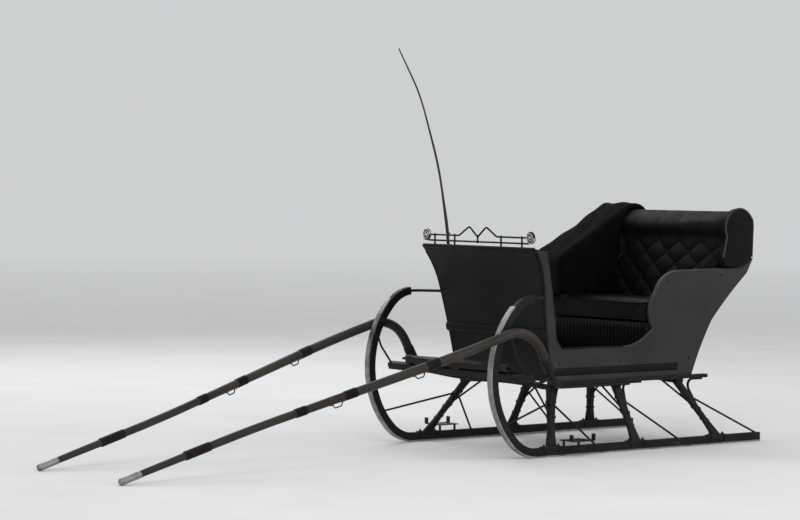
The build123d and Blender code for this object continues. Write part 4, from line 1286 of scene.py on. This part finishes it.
def endOutline():
    # up the rear, round the roll and down the front, without the foot
    y0, z0 = backEnds["roll"]
    low, high = backEnds["turns"]
    reach = backEnds["rollRadius"]
    turns = [radians(turn) for turn in between(low, high, 21)]
    roll = [(y0 + reach * cos(turn), z0 + reach * sin(turn)) for turn in turns]
    return list(backEnds["rear"]) + roll + list(backEnds["front"])


def faceEnds():
    y0, z0 = backEnds["middle"]
    piped = endOutline()
    whole = piped + list(backEnds["foot"])
    piping = bmesh.new()
    for sideName, side in sides.items():
        form = bmesh.new()
        rings = []
        for scale, x in backEnds["rings"]:
            rings.append([at(side * x, y0 + (y - y0) * scale, z0 + (z - z0) * scale) for y, z in whole])
        skin(form, rings)
        addPiece(f"backFacing_{sideName}", form, blackLeather, smooth=backEnds["smooth"])
        addTube(piping, [at(side * backEnds["pipingPlace"], y, z) for y, z in piped], backEnds["piping"], 10)
    addPiece("backPiping", piping, pipingLeather)
    form = bmesh.new()
    ends = [at(x, *backEnds["bindingPlace"]) for x in backEnds["bindingStations"]]
    addSweep(form, [(end, Vector((0, 1, 0)), upward) for end in ends], oval(*backEnds["binding"]))
    addPiece("backBinding", form, blackLeather)


faceEnds()
print("back's ends faced and piped")


def makeCloth(name, rows, thickness, material):
    # rows of places; half of the thickness goes each way
    form = bmesh.new()
    skin(form, rows, around=False)
    piece = addPiece(name, form, material, smooth=180)
    thick = piece.modifiers.new("thickness", "SOLIDIFY")
    thick.thickness = thickness
    thick.offset = 0
    settle(piece)
    return piece


# Lap robe: plush folded double, hung over the back and the far arm, with one side down to the seat.
robeCloth = {
    "near": -0.272,                 # middle of the side that hangs down
    "far": -0.480,
    "roll": (0.68015, 1.0890),
    "reach": 0.1075,                # roll's centre to the middle of the folded robe
    "rearDrop": 0.160,
    "slope": 29,
    "run": 0.506,
    "frontBend": 0.072,
    "frontDrop": 0.138,
    "step": 0.009,
    "corner": (0.006, 0.024),       # radius over the inner edge, on the back and where it hangs
    "rearEdge": ((0.584, 1.0890), (0.500, 0.7357)),   # Y, Z of the hanging side's rear edge
    "rollRadius": 0.096,
    "hangs": (269, 0.66),           # no side hangs past this heading, or behind this Y
    "least": 0.003,                 # length of a side that doesn't hang
    "clear": 0.004,                 # over what is below
    "front": 0.171,                 # Y of its front edge
    "gap": 0.0085,                  # between the two layers
    "thickness": 0.006,
    "ripple": 0.0045,
    "waves": 2.3,
    "innerRipple": 0.35,            # of the lower layer, as a share of the upper's
    "fineRipple": 0.0015,
    "edgeWander": (0.004, 0.003),
    "hemDrop": 0.004,
    "footWander": 0.006,
    "folds": (0.082, 0.00595),      # spacing and depth of the folds in the hanging side
    "foldsGrow": (0.16, 0.06),      # down it and back from its front edge
}


def hangingRoom(y, z):
    # height of the robe's inner edge above what is below it: the seat, the padded face or the roll
    (headY, headZ), (footY, footZ) = robeCloth["rearEdge"]
    lowest = footZ + max(0, y - footY) * (headZ - footZ) / (headY - footY)
    if y > headY:
        rollY, rollZ = robeCloth["roll"]
        lowest = rollZ + sqrt(max(0, robeCloth["rollRadius"] ** 2 - (y - rollY) ** 2))
    return z - lowest


def robeFall(station):
    # radius over the inner edge, and how far the robe hangs down from it
    y, z, heading = station
    small, large = robeCloth["corner"]
    steepest, rearmost = robeCloth["hangs"]
    room = 0 if heading > radians(steepest) or y > rearmost else hangingRoom(y, z)
    radius = max(small, min(large, room / 2))
    return radius, max(robeCloth["least"], room - radius - robeCloth["clear"])


def robeTop(index, station, layer, edge):
    # from the far edge across to the inner edge; no two of its waves keep step
    y, z, heading = station
    ripple = robeCloth["ripple"] * (1 if layer > 0 else robeCloth["innerRipple"])
    wide, narrow = robeCloth["edgeWander"]
    wander = wide * sin(index * 0.12) + narrow * sin(index * 0.29 + 1)
    points = []
    for across in between(1, 0, 22):
        wave = sin(across * pi * robeCloth["waves"] + index * 0.045) * sin(index * 0.09 + across * 2.1)
        lift = ripple * wave + robeCloth["fineRipple"] * sin(index * 0.31 + across * 9)
        x = edge + (robeCloth["far"] - edge) * across + wander * across
        rise = robeCloth["gap"] / 2 * layer + lift * min(1, across * 4)
        points.append(at(x, y, z) + outOf(heading) * rise)
    return points


def robeSide(index, top, hang):
    # the fold down from the inner edge, with folds that grow toward its foot and its rear
    spacing, depth = robeCloth["folds"]
    down, back = robeCloth["foldsGrow"]
    behind = clamped((top.y - middleKnees - robeCloth["front"]) / back)
    wander = robeCloth["footWander"] * sin(index * 0.21) * min(1, hang / 0.1)
    points = []
    for drop in between(0, hang + wander, 30)[1:]:
        swing = sin(2 * pi * top.y / spacing + 4 * drop) + 0.4 * sin(2 * pi * top.y / (spacing * 0.43) + 1)
        points.append(top + leftward * (depth * swing * min(1, drop / down) * behind) - upward * drop)
    return points


def robeRow(index, station, layer):
    # one layer of one row: the top, round the inner corner and down the side
    y, z, heading = station
    out = outOf(heading)
    radius, hang = robeFall(station)
    edge = robeCloth["near"] - radius
    points = robeTop(index, station, layer, edge)
    centre = at(edge, y, z) - out * radius
    reach = radius + robeCloth["gap"] / 2 * layer
    for turn in between(0, pi / 2, 5)[1:]:
        points.append(centre + (leftward * sin(turn) + out * cos(turn)) * reach)
    return points + robeSide(index, points[-1], hang)


def makeRobe():
    y0, z0 = robeCloth["roll"]
    reach, turn = robeCloth["reach"], 90 + robeCloth["slope"]
    moves = ((robeCloth["rearDrop"], 0), (reach, turn), (robeCloth["run"], 0),
             (robeCloth["frontBend"], 180 - turn), (robeCloth["frontDrop"], 0))
    line = trailPoints((y0 + reach, z0 - robeCloth["rearDrop"]), 90, moves, robeCloth["step"])
    rows = []
    for index, station in enumerate(line):
        outer, inner = robeRow(index, station, 1), robeRow(index, station, -1)
        hem = (outer[-1] + inner[-1]) / 2 - upward * robeCloth["hemDrop"]
        rows.append(outer + [hem] + inner[::-1])
    robe = makeCloth("lapRobe", rows, robeCloth["thickness"], robePlush)
    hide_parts("robe")
    return robe


lapRobe = makeRobe()
print("robe made:", len(lapRobe.data.polygons), "faces")

# Floor carpet and the pleated fall under the seat.
carpetCloth = {"half": 0.312, "front": -0.435, "rear": 0.172, "height": 0.3653, "thickness": 0.003,
               "ripple": 0.0008, "rows": 30, "columns": 32}
fallCloth = {
    "half": 0.325,
    "place": 0.1795,
    "top": 0.612,
    "bottom": 0.3695,
    "thickness": 0.0018,
    "rows": 8,
    "pleats": 26,
    "pleat": (0.0014, 0.0035),      # depth at the top and at the foot
    "cut": 0.72,                    # width laid flat
}


def makeCarpet():
    values = carpetCloth
    half, length = values["half"], values["rear"] - values["front"]
    rows = []
    for y in between(values["front"], values["rear"], values["rows"]):
        row = []
        for x in between(-half, half, values["columns"]):
            row.append(at(x, y, values["height"] + values["ripple"] * sin(9 * x + 5 * y) * sin(14 * y)))
        rows.append(row)
    carpet = makeCloth("floorCarpet", rows, values["thickness"], floorCarpet)


def makeFall():
    values = fallCloth
    half, count = values["half"], values["pleats"] * 8
    high, low = values["top"], values["bottom"]
    heights, depths = between(high, low, values["rows"]), between(*values["pleat"], values["rows"])
    turns = between(0, 2 * pi * values["pleats"], count)
    rows = []
    for z, depth in zip(heights, depths):
        across = zip(between(-half, half, count), turns)
        rows.append([at(x, values["place"] - depth * sin(turn), z) for x, turn in across])
    fall = makeCloth("seatFall", rows, values["thickness"], blackLeather)


makeCarpet()
makeFall()
print("cloth made")
